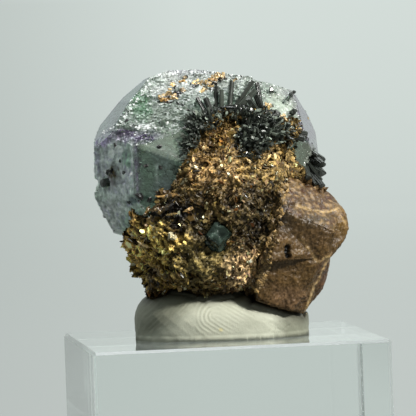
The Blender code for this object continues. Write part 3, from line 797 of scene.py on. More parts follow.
def edge_share(points, node, bend, width):
    """How near each point is to the solid's edges that stand out and bend that much: 1 on an edge."""
    form = solid_of(node)
    marks = []
    for edge in form.edges:
        if edge.is_manifold and edge.calc_face_angle_signed() > bend:
            low, high = (vertex.co for vertex in edge.verts)
            steps = max(1, int((high - low).length / (0.5 * width)))
            marks += [low.lerp(high, step / steps) for step in range(steps + 1)]
    form.free()
    near = nearest_of(marks)
    return np.exp(-(np.array([near.find(point)[2] for point in points]) / width) ** 2)


spar_mesh, points, normals = fine_surface(
    "feldspar", FELDSPAR_CELL, "fluorite", "schorl_fan", crisp=True
)
worn = edge_share(points, "feldspar", WORN_BEND, WORN_WIDTH)
waves = relief(points, 1.5)
small = relief(points, 0.5)
tiny = relief(points, 0.25)
steps = np.floor(2.4 * waves + 0.6 * points[:, 2]) / 2.4
height = weigh(SPAR_HEIGHTS, waves, small, tiny, steps)
height -= height.mean() + 0.04 + WORN_DEPTH * worn
points += normals * height[:, None]
across, up = as_seen(points)
pitted = [np.exp(-((np.hypot(across - x, up - z) / PIT_REACH) ** 4)) for x, z in FELDSPAR_PITS]
pitted = np.max(pitted, axis=0) * (points[:, 1] < -2)
points -= normals * (PIT_DEPTH * pitted)[:, None]
set_points(spar_mesh, points)
colours = paint_parts(points, FELDSPAR_TONE, FELDSPAR_PARTS, FELDSPAR_WAVER)
colours *= np.exp(weigh(SPAR_SHADES, waves, small, tiny) - 0.5)[:, None]
upward = np.clip(1.6 * (normals @ np.array((0.3, -0.35, 0.88))) - 0.6, 0, 1)
rusted = upward * (1.6 * relief(points, 0.8) + 0.1)
crusted = upward * (2.2 * relief(points + 5.0, 0.45) - 0.1)
colours = blend_tones(colours, (SPAR_RUST, rusted), (SPAR_CRUST, crusted))
wobble = 0.12 * relief(points, 0.8)
# Pale highlights are painted along the facet edges.
for line, pale in FELDSPAR_HIGHLIGHT_LINES:
    share = line_share(across, up, line, FELDSPAR_HIGHLIGHT_WIDTH, wobble) * (points[:, 1] < 0)
    colours = blend_tones(colours, (FELDSPAR_EDGE_HIGHLIGHT, pale * share * (0.9 + 1.2 * small)))
# The pits are painted nearly black, as the shade in them.
tint(spar_mesh, blend_tones(colours, (PIT_SHADE_TONE, 1.3 * pitted)))
spar, shader = new_finish("feldspar", FELDSPAR_TONE, Roughness=0.45, Specular_IOR_Level=0.3)
textured(spar, shader, GLINT, Size=5600.0, Tilt=0.35, Shade=0.4)
spar_surface = surface_of(spar_mesh)
add_piece("feldspar_crystal", spar_mesh, spar, "feldspar", "feldspar")

# Grains of both fill the seam between the feldspar and the rock, along this line that the camera sees.
SEAM = ((7.3, 29.0), (6.0, 24.6), (5.1, 20.3), (4.0, 18.1), (3.2, 17.4))
SEAM_GRAINS = 110
SEAM_DEPTH = -3.5
SEAM_SIZE = (0.12, 0.36)
SEAM_TONE = tone(110, 90, 58)
SEAM_SEED = 31
chance = random.Random(SEAM_SEED)
places = []
shades = []
for low, high in zip(SEAM, SEAM[1:]):
    for _ in range(SEAM_GRAINS):
        share = chance.random()
        across = low[0] + (high[0] - low[0]) * share + chance.gauss(0, 0.22)
        up = low[1] + (high[1] - low[1]) * share
        spot, normal = seen_spot([rock_surface, spar_surface], across, up)
        if spot is None:
            spot = EYE.lerp(Vector((across, 0, up)), (EYE.y - SEAM_DEPTH) / EYE.y)
            normal = Vector((0, -1, 0))
        size = chance.uniform(*SEAM_SIZE)
        places.append(place_grain(spot, normal, any_turn(chance), 1.3 * size, size, 0.8 * size))
        shades.append(shaded(SEAM_TONE, 0.5, chance))
add_piece("seam_grains", strew(crumb_form(5.0), places, shades), spar, "feldspar")

# Fluorite
# One large clear crystal, pale green with violet zones and rims. Its window face, the triangle over it and
# its bevels are smooth. Its other faces are stepped with small cube corners that all point the same way,
# and rusty grains, dark grains and thin black blades lie on them.

FLUORITE_CELL = 0.155
FLUORITE_MIDDLE = np.array((-1.5, 2.0, 33.0))
CRYSTAL_TURN = Matrix.Rotation(math.radians(5), 3, "Z") @ Matrix.Rotation(math.radians(10), 3, "Y")
# The smooth faces: which way each one faces, how far it is from the crystal's middle, and its colour. Each
# colour also paints that face's light and shade, the window dark and the triangle light.
SMOOTH_FACES = {
    "window": ((0.0, -1.0, 0.0), 8.1, (36, 52, 42)),
    "light_triangle": ((0.07, -0.98, 0.18), 7.65, (158, 170, 154)),
    "front_slope": ((0.28, -0.93, 0.22), 6.75, (122, 132, 118)),
    "bevel_upper": ((-0.63, -0.2, 0.75), 9.6, (116, 128, 136)),
    "bevel_left": ((-0.74, -0.23, 0.63), 9.9, (112, 122, 132)),
    "rim_upper_left": ((-0.6, 0.12, 0.79), 10.0, (150, 160, 174)),
    "rim_left": ((-0.75, 0.1, 0.66), 10.4, (118, 108, 138)),
    "right_strip": ((0.89, -0.24, 0.38), 11.4, (118, 112, 126)),
    "right_upper": ((0.93, 0.0, 0.36), 12.15, (176, 182, 180)),
}
FLUORITE_TONE = tone(160, 172, 162)
FLUORITE_WAVER = 0.7
VIOLET_ZONE = tone(138, 120, 158)
GREEN_ZONE = tone(128, 164, 138)
VIOLET_STREAK = tone(116, 102, 138)
HOLLOW_TONE = tone(62, 48, 24)
# The white left and the bright patch are painted highlights, and the left front is painted lighter as if lit
# from the left.
FLUORITE_PARTS = {
    "silver_front": ((-5.4, 36.2), (4.6, 2.6), (124, 134, 122)),
    "white_top": ((-3.5, 40.3), (7.5, 1.6), (214, 218, 212)),
    "green_beside_bevel": ((-8.1, 38.3), (1.2, 1.8), (112, 150, 118)),
    "violet_shoulder": ((-12.3, 34.7), (1.6, 1.0), (126, 106, 146)),
    "violet_middle": ((-7.5, 34.55), (1.6, 0.7), (48, 32, 72)),
    "violet_beside": ((-9.9, 34.9), (1.4, 0.8), (84, 68, 100)),
    "left_front": ((-10.8, 31.2), (2.4, 3.2), (198, 194, 204)),
    "white_left": ((-11.1, 32.2), (0.9, 1.7), (222, 222, 230)),
    "green_left": ((-9.8, 32.6), (0.7, 1.4), (112, 140, 122)),
    "grey_low": ((-11.4, 26.4), (2.2, 2.2), (152, 146, 150)),
    "green_low": ((-9.4, 25.6), (1.2, 1.4), (88, 104, 90)),
    "dark_band": ((-8.9, 27.9), (1.7, 0.45), (50, 58, 62)),
    "green_right": ((7.6, 37.2), (2.4, 2.4), (218, 230, 212)),
    "violet_right": ((9.9, 35.6), (0.9, 3.4), (120, 112, 128)),
    "grey_right": ((9.0, 31.0), (1.8, 2.2), (172, 180, 166)),
    "bright_patch": ((-8.0, 36.0), (1.2, 0.45), (228, 234, 230)),
}
# Lines in the crystal, as the camera sees them: the line, how wide, its colour and how strong. The white
# ones are painted highlights, and the violet ones are zones in the crystal.
FLUORITE_LINES = (
    (((-9.3, 34.8), (-9.15, 31.5), (-9.2, 28.3)), 0.07, (196, 196, 204), 0.45),
    (((-8.7, 34.3), (-8.75, 31.0), (-8.6, 28.3)), 0.28, (96, 86, 106), 0.7),
    (((-9.9, 34.4), (-9.95, 31.5), (-9.8, 28.6)), 0.12, (98, 88, 112), 0.6),
    (((-6.5, 31.6), (-6.6, 29.6)), 0.16, (150, 160, 156), 0.55),
    (((-5.1, 33.2), (-5.5, 31.5)), 0.06, (136, 150, 146), 0.5),
    (((-8.2, 32.2), (-6.9, 33.8)), 0.06, (136, 150, 146), 0.5),
    (((-7.9, 33.9), (-5.6, 33.2), (-3.6, 31.9)), 0.06, (216, 220, 210), 0.8),
    (((-6.5, 34.6), (-4.3, 34.3), (-3.5, 33.4), (-3.5, 32.0)), 0.07, (200, 204, 194), 0.5),
    (((-13.0, 35.0), (-13.1, 33.0), (-12.9, 31.2)), 0.28, (96, 80, 120), 0.7),
    (((-12.2, 34.6), (-12.1, 31.6)), 0.2, (118, 104, 138), 0.5),
)
# Steps on the rough faces: how long, deep and tall the boxes are, and how far they stand out.
CUBE_STEPS = ((1.5, 0.9, 0.6, 0.06), (0.7, 0.45, 0.3, 0.06), (0.36, 0.3, 0.18, 0.04))
STREAK_SIZE = np.array((0.3, 0.6, 0.8))
# The crystal is fluted to the left of this place and under this height.
FLUTED_LEFT = -8.6
FLUTED_UNDER = 34.8
CRYSTAL_WOBBLE = ((0.16, 0.9), (0.06, 0.3))
CRYSTAL_DEEP = (0.72, 0.82, 0.76)
CRYSTAL_DENSITY = 90.0
# The rusty hollow in the left front: its middle and how far its colour reaches.
HOLLOW_SPOT = np.array((-11.5, -4.0, 31.1))
HOLLOW_REACH = 1.05
# How rough the stepped faces and the smooth ones are.
FROST = 0.3
GLOSS = 0.05
CORNERS = 1700
CORNER_SIZE = (0.05, 0.18)
# Each corner is painted white as a highlight, or else dark as shade.
CORNER_HIGHLIGHT = tone(236, 240, 240)
CORNER_SHADE = tone(84, 92, 84)
# Edges set with corners painted white as highlights, as the camera sees them, and how many each stretch has.
CORNER_LINES = (
    ((-7.0, 40.8), (-7.9, 39.3), (-9.1, 37.8), (-10.0, 36.7), (-11.2, 35.7), (-12.6, 34.9)),
    ((-6.8, 41.0), (-4.6, 41.6), (-2.0, 41.5), (0.6, 41.3), (3.4, 41.0)),
    ((-9.2, 35.9), (-8.0, 35.7), (-6.4, 35.5)),
)
LINE_CORNERS = 22
CORNER_SEED = 23
# Rusty grains: where the camera sees a cluster's middle, how wide it is, and how many grains it has.
RUSTY_GRAINS = (
    ((-5.6, 39.0), 0.4, 12), ((-4.9, 39.5), 0.35, 9), ((-4.4, 38.8), 0.4, 8), ((-3.4, 39.7), 0.3, 7),
    ((-3.0, 40.8), 0.35, 7), ((-4.4, 40.2), 0.25, 4), ((-1.9, 40.4), 0.3, 6), ((-1.1, 40.2), 0.4, 10),
    ((-0.3, 40.2), 0.3, 7), ((0.4, 40.8), 0.55, 18), ((1.0, 40.9), 0.4, 10), ((2.3, 40.5), 0.3, 6),
    ((-0.9, 39.6), 0.3, 5), ((-1.3, 36.8), 0.2, 4), ((5.7, 37.6), 0.35, 10), ((7.4, 36.1), 0.4, 10),
    ((10.2, 36.1), 0.15, 3), ((-5.1, 39.1), 0.3, 6),
)
RUST_SIZE = (0.07, 0.3)
RUST_TONE = tone(136, 116, 80)
# Dark grains, in the same way.
DARK_GRAINS = (
    ((-9.6, 36.5), 0.12, 3), ((-11.0, 34.0), 0.14, 4), ((-6.1, 33.5), 0.1, 2), ((-7.6, 31.6), 0.08, 4),
    ((-6.1, 31.3), 0.1, 5), ((-7.4, 27.9), 0.2, 7), ((-9.7, 27.7), 0.16, 6), ((-8.6, 28.15), 0.4, 14),
    ((-11.5, 31.0), 0.4, 9), ((-10.4, 32.1), 0.1, 2), ((-10.1, 30.9), 0.06, 2), ((3.1, 41.0), 0.15, 4),
    ((-3.1, 41.0), 0.15, 4), ((7.2, 40.0), 0.12, 4), ((8.8, 39.5), 0.15, 4),
    ((-5.2, 38.9), 0.5, 8), ((-4.0, 39.4), 0.6, 8), ((-2.2, 40.0), 0.5, 6), ((-0.2, 40.1), 0.6, 8),
    ((0.8, 40.6), 0.5, 6),
)
DARK_SIZE = (0.12, 0.26)
DARK_TONE = tone(14, 12, 8)
# Thin black blades on the upper front, and brown ones that reach out of the rock over the crystal: the
# middle, half the length and width, the heading and the colour.
THIN_BLADES = (
    ((-5.9, 38.45), (0.42, 0.09), 4, (24, 26, 24)),
    ((-4.6, 38.4), (0.55, 0.09), 20, (30, 32, 28)),
    ((-3.9, 38.2), (0.4, 0.12), -35, (28, 30, 26)),
    ((-3.3, 37.9), (0.5, 0.1), -40, (20, 22, 20)),
    ((-2.8, 37.4), (0.4, 0.12), -30, (34, 36, 32)),
    ((-5.6, 38.2), (0.5, 0.07), 8, (214, 216, 210)),
    ((-7.4, 36.9), (0.3, 0.05), 60, (40, 42, 38)),
    ((-5.7, 28.55), (1.25, 0.4), 4, (70, 54, 28)),
    ((-5.9, 28.15), (1.1, 0.14), -3, (176, 140, 86)),
    ((-4.6, 28.2), (0.9, 0.3), -12, (128, 100, 58)),
    ((-7.7, 26.7), (0.8, 0.3), 62, (92, 74, 40)),
    ((-6.8, 27.0), (0.9, 0.34), 38, (66, 52, 26)),
    ((-6.2, 26.4), (1.1, 0.36), -35, (82, 66, 36)),
    ((-5.3, 38.65), (0.75, 0.28), 8, (140, 108, 60)),
    ((-5.0, 38.35), (0.8, 0.13), -8, (46, 34, 20)),
    ((-3.4, 40.6), (0.5, 0.17), 15, (158, 126, 76)),
    ((0.0, 40.55), (0.8, 0.28), -8, (146, 112, 62)),
    ((0.3, 40.2), (0.5, 0.12), -20, (44, 32, 18)),
    ((-4.2, 39.05), (0.35, 0.15), -10, (130, 100, 56)),
    ((-1.2, 39.5), (0.5, 0.22), 30, (176, 152, 108)),
    ((-5.2, 27.0), (1.2, 0.4), 16, (56, 44, 22)),
    ((-7.2, 25.9), (0.8, 0.26), 25, (112, 90, 50)),
    ((-5.0, 26.2), (0.9, 0.14), 8, (160, 134, 84)),
)
CUBE_GLINT = glint_group("cube_glint", "CHEBYCHEV")


def mark_rough(mesh, values):
    """Writes for each point how rough it is, which the finish reads."""
    layer = mesh.attributes.new("rough", "FLOAT", "POINT")
    layer.data.foreach_set("value", np.asarray(values, np.float32))


def cube_steps(points):
    """How far the small boxes stand out, the smaller ones on the larger ones, turned as the crystal is."""
    turned = points @ np.array(CRYSTAL_TURN)
    total = np.zeros(len(points))
    for *size, step in CUBE_STEPS:
        total += step * np.array([noise.cell(Vector(place)) for place in turned / np.array(size)])
    return total


def on_face(points, normals, direction, distance):
    """A share of 1 for each point that lies on this flat face."""
    outward = np.array(Vector(direction).normalized())
    off = np.abs((points - FLUORITE_MIDDLE) @ outward - distance)
    return (off < 0.06) * (normals @ outward > 0.94)


def grain_places(surfaces, clusters, sizes, chance):
    """Grains in clusters where the camera sees them."""
    places = []
    for middle, reach, count in clusters:
        for spot, normal in seen_patch(surfaces, middle, (reach, reach), count, chance):
            size = chance.uniform(*sizes)
            turn = any_turn(chance)
            places.append(place_grain(spot, normal, turn, size * chance.uniform(0.8, 1.6), size, 0.7 * size))
    return places


# The fourth lone crystal keeps its gap, in the notch where it stands.
singles = [f"schorl_crystal_{number}" for number in (1, 2, 3, 5, 6, 7)]
crystal_mesh, points, normals = fine_surface(
    "fluorite", FLUORITE_CELL, "schorl_spray", "schorl_fan", *singles, crisp=True
)
shares = [on_face(points, normals, direction, distance) for direction, distance, _ in SMOOTH_FACES.values()]
rough = 1 - np.max(shares, axis=0)
across, up = as_seen(points)
fluted = (across < FLUTED_LEFT) * (up < FLUTED_UNDER) * (points[:, 1] < 0)
steps = cube_steps(points) * (1 - 0.4 * fluted) * np.where(across > 5.5, 0.5, 1.0)
streaks = relief(points / STREAK_SIZE, 1.0) * fluted
height = rough * (steps - 0.05) + 0.12 * streaks + 0.1 * fluted * relief(points, 0.9) - 0.02
points += normals * height[:, None]
set_points(crystal_mesh, points)
normals = read_points(crystal_mesh, "normal")
zones = 2.2 * relief(points, 3.4)
behind = ramp(points[:, 1], 0.0, 3.0)
streaked = 1.4 * (relief(points / STREAK_SIZE + 7.0, 1.0) - 0.1) * fluted
# The smooth faces are painted with their own light and shade.
colours = blend_tones(
    paint_parts(points, FLUORITE_TONE, FLUORITE_PARTS, FLUORITE_WAVER),
    (VIOLET_ZONE, behind * (zones - 0.3)),
    (GREEN_ZONE, behind * (-zones - 0.3)),
    *((tone(*colour), 0.8 * share) for share, (_, _, colour) in zip(shares, SMOOTH_FACES.values())),
    (VIOLET_STREAK, streaked),
)
wobble = lumps(points, CRYSTAL_WOBBLE)
# The white lines are painted highlights.
for line, width, colour, strong in FLUORITE_LINES:
    share = line_share(across, up, line, width, wobble) * (points[:, 1] < 0)
    colours = blend_tones(colours, (tone(*colour), strong * share * (1 + 1.2 * relief(points, 0.6))))
# Raised steps are painted lighter and low ones darker, as light and shade on them, and the fluted left front
# is painted lighter as if lit from the left.
fine = 0.5 * relief(points, 0.28)
colours *= np.exp(rough * (3.4 * steps + fine) + fluted * (0.3 + 0.9 * streaks + fine))[:, None]
rust = np.exp(-(np.linalg.norm(points - HOLLOW_SPOT, axis=1) / HOLLOW_REACH) ** 2)
tint(crystal_mesh, blend_tones(colours, (HOLLOW_TONE, 2.0 * rust * (1 + 0.8 * relief(points, 0.5)))))
mark_rough(crystal_mesh, rough)
fluorite, shader = new_finish("fluorite", FLUORITE_TONE, IOR=1.434, Transmission_Weight=0.7)
absorbs(fluorite, CRYSTAL_DEEP, CRYSTAL_DENSITY)
tree = fluorite.node_tree
frost = add_node(tree, "Attribute", attribute_name="rough").outputs["Fac"]
tree.links.new(remap(tree, frost, 0.0, 1.0, GLOSS, FROST), shader.inputs["Roughness"])
tilt = remap(tree, frost, 0.0, 1.0, 0.0, 0.5)
textured(fluorite, shader, CUBE_GLINT, Size=3800.0, Tilt=tilt, Shade=tilt)
crystal_surface = surface_of(crystal_mesh)
add_piece("fluorite_crystal", crystal_mesh, fluorite, "fluorite", "fluorite")

chance = random.Random(CORNER_SEED)
places = []
shades = []
turned = CRYSTAL_TURN.to_4x4()
spots = [(Vector(points[number]), normals[number]) for number in np.flatnonzero((rough > 0) & ~fluted)]
spots = [(spot, normal) for spot, normal in spots if normal[2] > 0.3 or normal[1] < -0.5]
spots = [(spot, 0.35 + 0.4 * (spot.z > 39.2)) for spot, _ in chance.sample(spots, CORNERS)]
for line in CORNER_LINES:
    for (low_x, low_z), (high_x, high_z) in zip(line, line[1:]):
        for _ in range(LINE_CORNERS):
            share = chance.random()
            near = low_x + (high_x - low_x) * share + chance.gauss(0, 0.12), low_z + (high_z - low_z) * share
            spot, _ = seen_spot([crystal_surface], near[0], near[1] + chance.gauss(0, 0.12))
            if spot is not None:
                spots.append((spot, 0.9))
# Each corner is painted white as a highlight, or else dark as shade; the top and the lines get more white
# ones.
for spot, pale in spots:
    size = skewed(CORNER_SIZE, 2, chance)
    places.append(Matrix.Translation(spot) @ turned @ Matrix.Diagonal((1.4 * size, size, size, 1)))
    shades.append(CORNER_HIGHLIGHT if chance.random() < pale else CORNER_SHADE)
cube = bmesh.new()
bmesh.ops.create_cube(cube, size=1.0)
frosted, shader = new_finish("fluorite_corners_lit_and_shaded", FLUORITE_TONE, Roughness=0.18, Specular_IOR_Level=0.6)
frosted.node_tree.links.new(tinted(frosted), shader.inputs["Base Color"])
add_piece("fluorite_corners", strew(cube, places, shades), frosted, "fluorite")

rusty_places = grain_places([crystal_surface], RUSTY_GRAINS, RUST_SIZE, chance)
dark_places = grain_places([crystal_surface], DARK_GRAINS, DARK_SIZE, chance)
blade_places = seen_books([crystal_surface, rock_surface], THIN_BLADES)
shades = [shaded(RUST_TONE, 0.5, chance) for _ in rusty_places]
shades += [DARK_TONE for _ in dark_places] + [tone(*colour) for *_, colour in THIN_BLADES]
loose_mesh = strew(crumb_form(7.0), rusty_places + dark_places + blade_places, shades)
add_piece("loose_grains", loose_mesh, pale_mica, "mica_rock")

# Small fluorite
# A small dark teal crystal of the same fluorite, sunk in the rock's front.

SMALL_CELL = 0.06
SMALL_TONE = tone(72, 88, 78)
SMALL_LUMPS = ((0.09, 0.7), (0.03, 0.3))
small_mesh, points, normals = fine_surface("small_fluorite", SMALL_CELL, crisp=True)
height = lumps(points, SMALL_LUMPS) - 0.06
set_points(small_mesh, points + normals * height[:, None])
clouds = relief(points, 0.6)
tint(small_mesh, np.array(SMALL_TONE) * np.exp(1.6 * clouds)[:, None])
mark_rough(small_mesh, np.clip(0.3 + clouds, 0, 1))
add_piece("small_fluorite_crystal", small_mesh, fluorite, "fluorite", "small_fluorite")

# Schorl
# Black tourmaline: long prisms with a rounded three-cornered section and grooves along their sides.
# They grow out of each other in knots of short crystals, and a few stand alone in the fluorite.

SCHORL_SIDES = 30
# A prism: where it starts, where it ends and how wide it is.
SCHORL_SPRAY = (
    ((-0.8, -3.4, 36.8), (-1.9, -3.2, 38.9), 0.47),
    ((-0.3, -3.5, 36.9), (-1.0, -3.5, 38.85), 0.62),
    ((0.1, -2.9, 37.2), (0.3, -2.2, 40.0), 0.52),
    ((0.7, -3.0, 37.2), (0.8, -2.9, 39.65), 0.52),
    ((1.6, -2.8, 37.3), (2.0, -2.0, 40.4), 0.54),
    ((2.2, -2.6, 37.6), (4.3, -1.6, 40.4), 0.46),
    ((2.6, -2.8, 37.5), (4.5, -3.2, 39.4), 0.60),
    ((5.1, -2.6, 36.9), (4.7, -1.2, 40.2), 0.54),
    ((5.1, -2.2, 36.4), (3.6, -4.3, 38.6), 0.65),
    ((5.4, -2.2, 36.5), (4.5, -3.2, 38.8), 0.65),
    ((5.6, -2.2, 36.2), (7.0, -3.0, 36.9), 0.93),
    ((6.0, -2.6, 35.2), (8.7, -2.2, 34.6), 0.80),
    ((7.0, -2.4, 34.9), (10.0, -1.6, 34.2), 0.87),
    ((7.2, -2.6, 34.6), (9.7, -3.0, 33.8), 0.60),
)
# Some of these prisms are grey-green on their broken sides: how much lighter each one is.
PALER_PRISMS = {3: 3.2, 4: 2.0, 6: 3.6, 8: 2.2, 5: 1.6}
SCHORL_FAN = (
    ((9.5, -0.3, 32.8), (11.6, -1.3, 31.4), 0.87),
    ((9.9, -0.3, 32.4), (11.5, -2.4, 31.0), 0.80),
    ((10.2, -0.2, 31.5), (11.5, -2.9, 30.1), 0.70),
    ((10.0, -0.6, 30.9), (11.4, -3.2, 30.0), 0.70),
    ((9.9, -0.8, 30.5), (11.3, -4.2, 28.7), 0.87),
    ((9.5, -0.9, 31.1), (9.8, -4.5, 29.7), 0.75),
    ((9.4, -0.7, 33.1), (11.0, -1.8, 31.9), 0.5),
    ((9.7, -0.8, 32.0), (11.4, -2.0, 30.8), 0.55),
    ((9.9, -1.2, 31.2), (11.2, -3.4, 29.4), 0.5),
    ((9.6, -1.2, 30.6), (10.6, -4.0, 28.9), 0.45),
)
SCHORL_SINGLES = (
    ((6.3, 0.8, 38.7), (6.2, -0.6, 39.4), 0.50),
    ((8.2, 2.1, 38.5), (8.7, -1.1, 39.0), 0.42),
    ((8.0, 0.1, 36.3), (8.7, -1.6, 37.0), 0.63),
    ((-11.6, -2.0, 30.0), (-12.5, -3.2, 29.9), 0.87),
    ((1.5, 8.5, 34.5), (2.6, 12.2, 35.6), 0.80),
    ((-3.5, 9.0, 30.5), (-4.6, 12.0, 30.9), 0.70),
    ((6.5, 7.6, 30.5), (8.4, 10.6, 30.0), 0.75),
)
# A knot that the crystals grow out of: its middle, and half its size along x, y and z.
SPRAY_KNOTS = (
    ((5.0, -3.2, 35.2), (2.9, 1.7, 2.2)),
    ((3.8, -5.0, 33.9), (1.8, 1.0, 1.7)),
    ((7.1, -3.2, 34.1), (1.5, 1.1, 1.1)),
    ((-0.7, -4.0, 36.3), (1.5, 1.3, 1.2)),
    ((-2.1, -4.4, 35.3), (0.8, 1.0, 1.5)),
    ((2.0, -3.2, 37.0), (3.4, 1.2, 0.9)),
)
FAN_KNOTS = (((9.8, -0.4, 31.6), (0.8, 1.2, 1.7)),)
SCHORL_TONE = tone(42, 45, 41)
SCHORL_SEED = 11


def add_prism(form, foot, tip, width, chance):
    """A grooved prism with a low three-sided point or a broken end. Gives its points."""
    foot = Vector(foot)
    tip = Vector(tip)
    long = (tip - foot).length
    verts = bmesh.ops.create_cone(
        form, cap_ends=True, segments=SCHORL_SIDES, radius1=width / 2, radius2=width / 2, depth=long
    )["verts"]
    phase = any_turn(chance)
    for vertex in verts:
        angle = math.atan2(vertex.co.y, vertex.co.x)
        groove = 0.05 * math.sin(11 * angle + phase) + 0.035 * math.sin(19 * angle - phase)
        grow = 1 + 0.14 * math.cos(3 * angle) + groove
        narrow = 0.88 if vertex.co.z > 0 else 1.0
        vertex.co.xy *= grow * narrow
    faces = {face for vertex in verts for face in vertex.link_faces}
    for side in range(3 if chance.random() < 0.6 else 1):
        spin = 2 * math.pi * side / 3 + phase
        slope = Vector((math.cos(spin), math.sin(spin), 2.2)).normalized()
        geometry = list({part for face in faces for part in (face, *face.edges, *face.verts)})
        top = Vector((0, 0, long / 2 - 0.05 * width))
        cut = bmesh.ops.bisect_plane(form, geom=geometry, plane_co=top, plane_no=slope, clear_outer=True)
        rim = [part for part in cut["geom_cut"] if isinstance(part, bmesh.types.BMEdge)]
        kept = [part for part in cut["geom"] if isinstance(part, bmesh.types.BMFace) and part.is_valid]
        filled = bmesh.ops.edgeloop_fill(form, edges=rim)["faces"] if rim else []
        faces = {*kept, *filled}
    verts = list({vertex for face in faces for vertex in face.verts})
    stand = Matrix.Translation((foot + tip) / 2) @ (tip - foot).to_track_quat("Z", "Y").to_matrix().to_4x4()
    bmesh.ops.transform(form, matrix=stand, verts=verts)
    return verts


def schorl_piece(name, prisms, knots, finish, chance, *replaced, paler=None):
    """A group of prisms and knots as one piece. Gives its surface too."""
    form = bmesh.new()
    lighter = form.verts.layers.float.new("lighter")
    for number, (foot, tip, width) in enumerate(prisms):
        for vertex in add_prism(form, foot, tip, width, chance):
            vertex[lighter] = (paler or {}).get(number, 1.0)
    for middle, half in knots:
        lump = bmesh.ops.create_icosphere(form, subdivisions=4, radius=1.0)["verts"]
        for vertex in lump:
            way = vertex.co.normalized()
            grow = 0.82 + 0.2 * noise.noise(way * 2.3) + 0.16 * noise.cell(way * 4)
            vertex.co = Vector(middle) + Vector([way[i] * half[i] * grow for i in range(3)])
            vertex[lighter] = 0.8
    lights = np.array([vertex[lighter] for vertex in form.verts])
    mesh = bpy.data.meshes.new(name)
    form.to_mesh(mesh)
    form.free()
    points = read_points(mesh)
    tint(mesh, np.array(SCHORL_TONE) * (lights * (1 + 0.5 * relief(points, 0.8)))[:, None])
    surface = surface_of(mesh)
    add_piece(name, mesh, finish, "schorl", *replaced)
    return surface


schorl, shader = new_finish("schorl", SCHORL_TONE, Roughness=0.28, Specular_IOR_Level=0.55)
textured(schorl, shader, GRAIN, Size=2500.0, Depth=0.00002, Specks=0.3)
chance = random.Random(SCHORL_SEED)
spray_surface = schorl_piece(
    "spray", SCHORL_SPRAY, SPRAY_KNOTS, schorl, chance, "schorl_spray", paler=PALER_PRISMS
)
fan_surface = schorl_piece("fan", SCHORL_FAN, FAN_KNOTS, schorl, chance, "schorl_fan")
for number, crystal in enumerate(SCHORL_SINGLES, 1):
    schorl_piece(f"lone_crystal_{number}", (crystal,), (), schorl, chance, f"schorl_crystal_{number}")

# Short schorl crystals
# Hundreds of short black prisms that cover the knots and point outwards, with brown mica between them.

NEEDLE_LENGTH = (0.5, 2.0)
NEEDLE_WIDTH = (0.1, 0.44)
# Three in ten are painted brighter, as highlights: how much lighter those are, and the others.
HIGHLIGHT_SHARE = 0.3
NEEDLE_LIGHTS = (8.0, 2.0)
# They point away from here.
NEEDLE_ROOT = Vector((2.0, 0.5, 32.0))
# Where the camera sees them: a patch's middle, half its size, and how many it has.
NEEDLE_PATCHES = (
    ((4.9, 34.9), (2.6, 1.9), 330),
    ((3.8, 33.6), (1.8, 1.7), 200),
    ((6.9, 34.4), (1.5, 1.1), 80),
    ((-1.5, 36.0), (1.5, 1.0), 150),
    ((-2.4, 34.9), (0.8, 1.7), 110),
    ((-3.2, 33.2), (0.4, 1.5), 55),
    ((2.0, 36.7), (3.0, 0.6), 110),
)
MICA_PATCHES = (
    ((8.1, 35.0), (1.3, 1.2), 150),
    ((7.4, 33.3), (1.4, 0.8), 110),
    ((1.2, 36.3), (1.7, 0.9), 170),
    ((-1.0, 35.4), (0.8, 1.2), 30),
    ((4.9, 37.0), (1.2, 0.6), 25),
)
BETWEEN_SIZE = (0.1, 0.34)
BETWEEN_TONE = tone(86, 72, 46)

needle = bmesh.new()
bmesh.ops.create_cone(needle, cap_ends=True, segments=7, radius1=0.5, radius2=0.46, depth=1.0)
for vertex in needle.verts:
    if vertex.co.z > 0:
        vertex.co.z += 0.25 * vertex.co.x
surfaces = [spray_surface, fan_surface, rock_surface, crystal_surface]
places = []
shades = []
for middle, half, count in NEEDLE_PATCHES:
    for spot, normal in seen_patch(surfaces, middle, half, count, chance):
        axis = (spot - NEEDLE_ROOT).normalized() + 0.25 * normal + stray(0.4, chance)
        long = chance.uniform(*NEEDLE_LENGTH)
        width = skewed(NEEDLE_WIDTH, 3, chance)
        places.append(place_grain(spot, axis.normalized(), any_turn(chance), width, width, long))
        # Some needles are painted brighter as highlights.
        light = NEEDLE_LIGHTS[0 if chance.random() < HIGHLIGHT_SHARE else 1]
        shades.append(light * shaded(SCHORL_TONE, 0.5, chance))
add_piece("short_crystals", strew(needle, places, shades), schorl, "schorl")

places = []
shades = []
for middle, half, count in MICA_PATCHES:
    for spot, normal in seen_patch(surfaces, middle, half, count, chance):
        axis = stray(1, chance).normalized()
        size = chance.uniform(*BETWEEN_SIZE)
        spot += normal * chance.uniform(0.0, 0.25)
        places.append(place_grain(spot, axis, any_turn(chance), size, 0.6 * size, 0.05))
        shades.append(shaded(BETWEEN_TONE, 0.8, chance))
add_piece("mica_between", strew(flake_form(), places, shades), mica, "mica_rock")

# Studio
# The block stands on a pale sweep that runs up into the backdrop all round. A small lamp from the upper
# right gives the shadows, and a broad one from above lights the tops.

SWEEP_RADIUS = 0.95
SWEEP_HEIGHT = 1.3
SWEEP_BEND = 0.35
SWEEP_FLOOR = -0.0004
SWEEP_STEPS = 12
SWEEP_TONE = (0.905, 1.0, 0.955)
# How bright the sweep is at a distance from the block, and how it fades across, away from and over it.
SWEEP_LIGHT = ((0.04, 0.42), (0.2, 0.47), (0.63, 0.58), (0.8, 0.68))
SWEEP_FADES = {"X": (-0.06, -0.004, 0.8, 1.0), "Y": (-0.35, 0.0, 0.1, 1.0), "Z": (0.055, 0.085, 1.0, 1.5)}
SKY_TONE = (0.86, 0.93, 1.0)
SKY_STRENGTH = 0.3
SPECIMEN_MIDDLE = Vector((0, 0, 0.028))
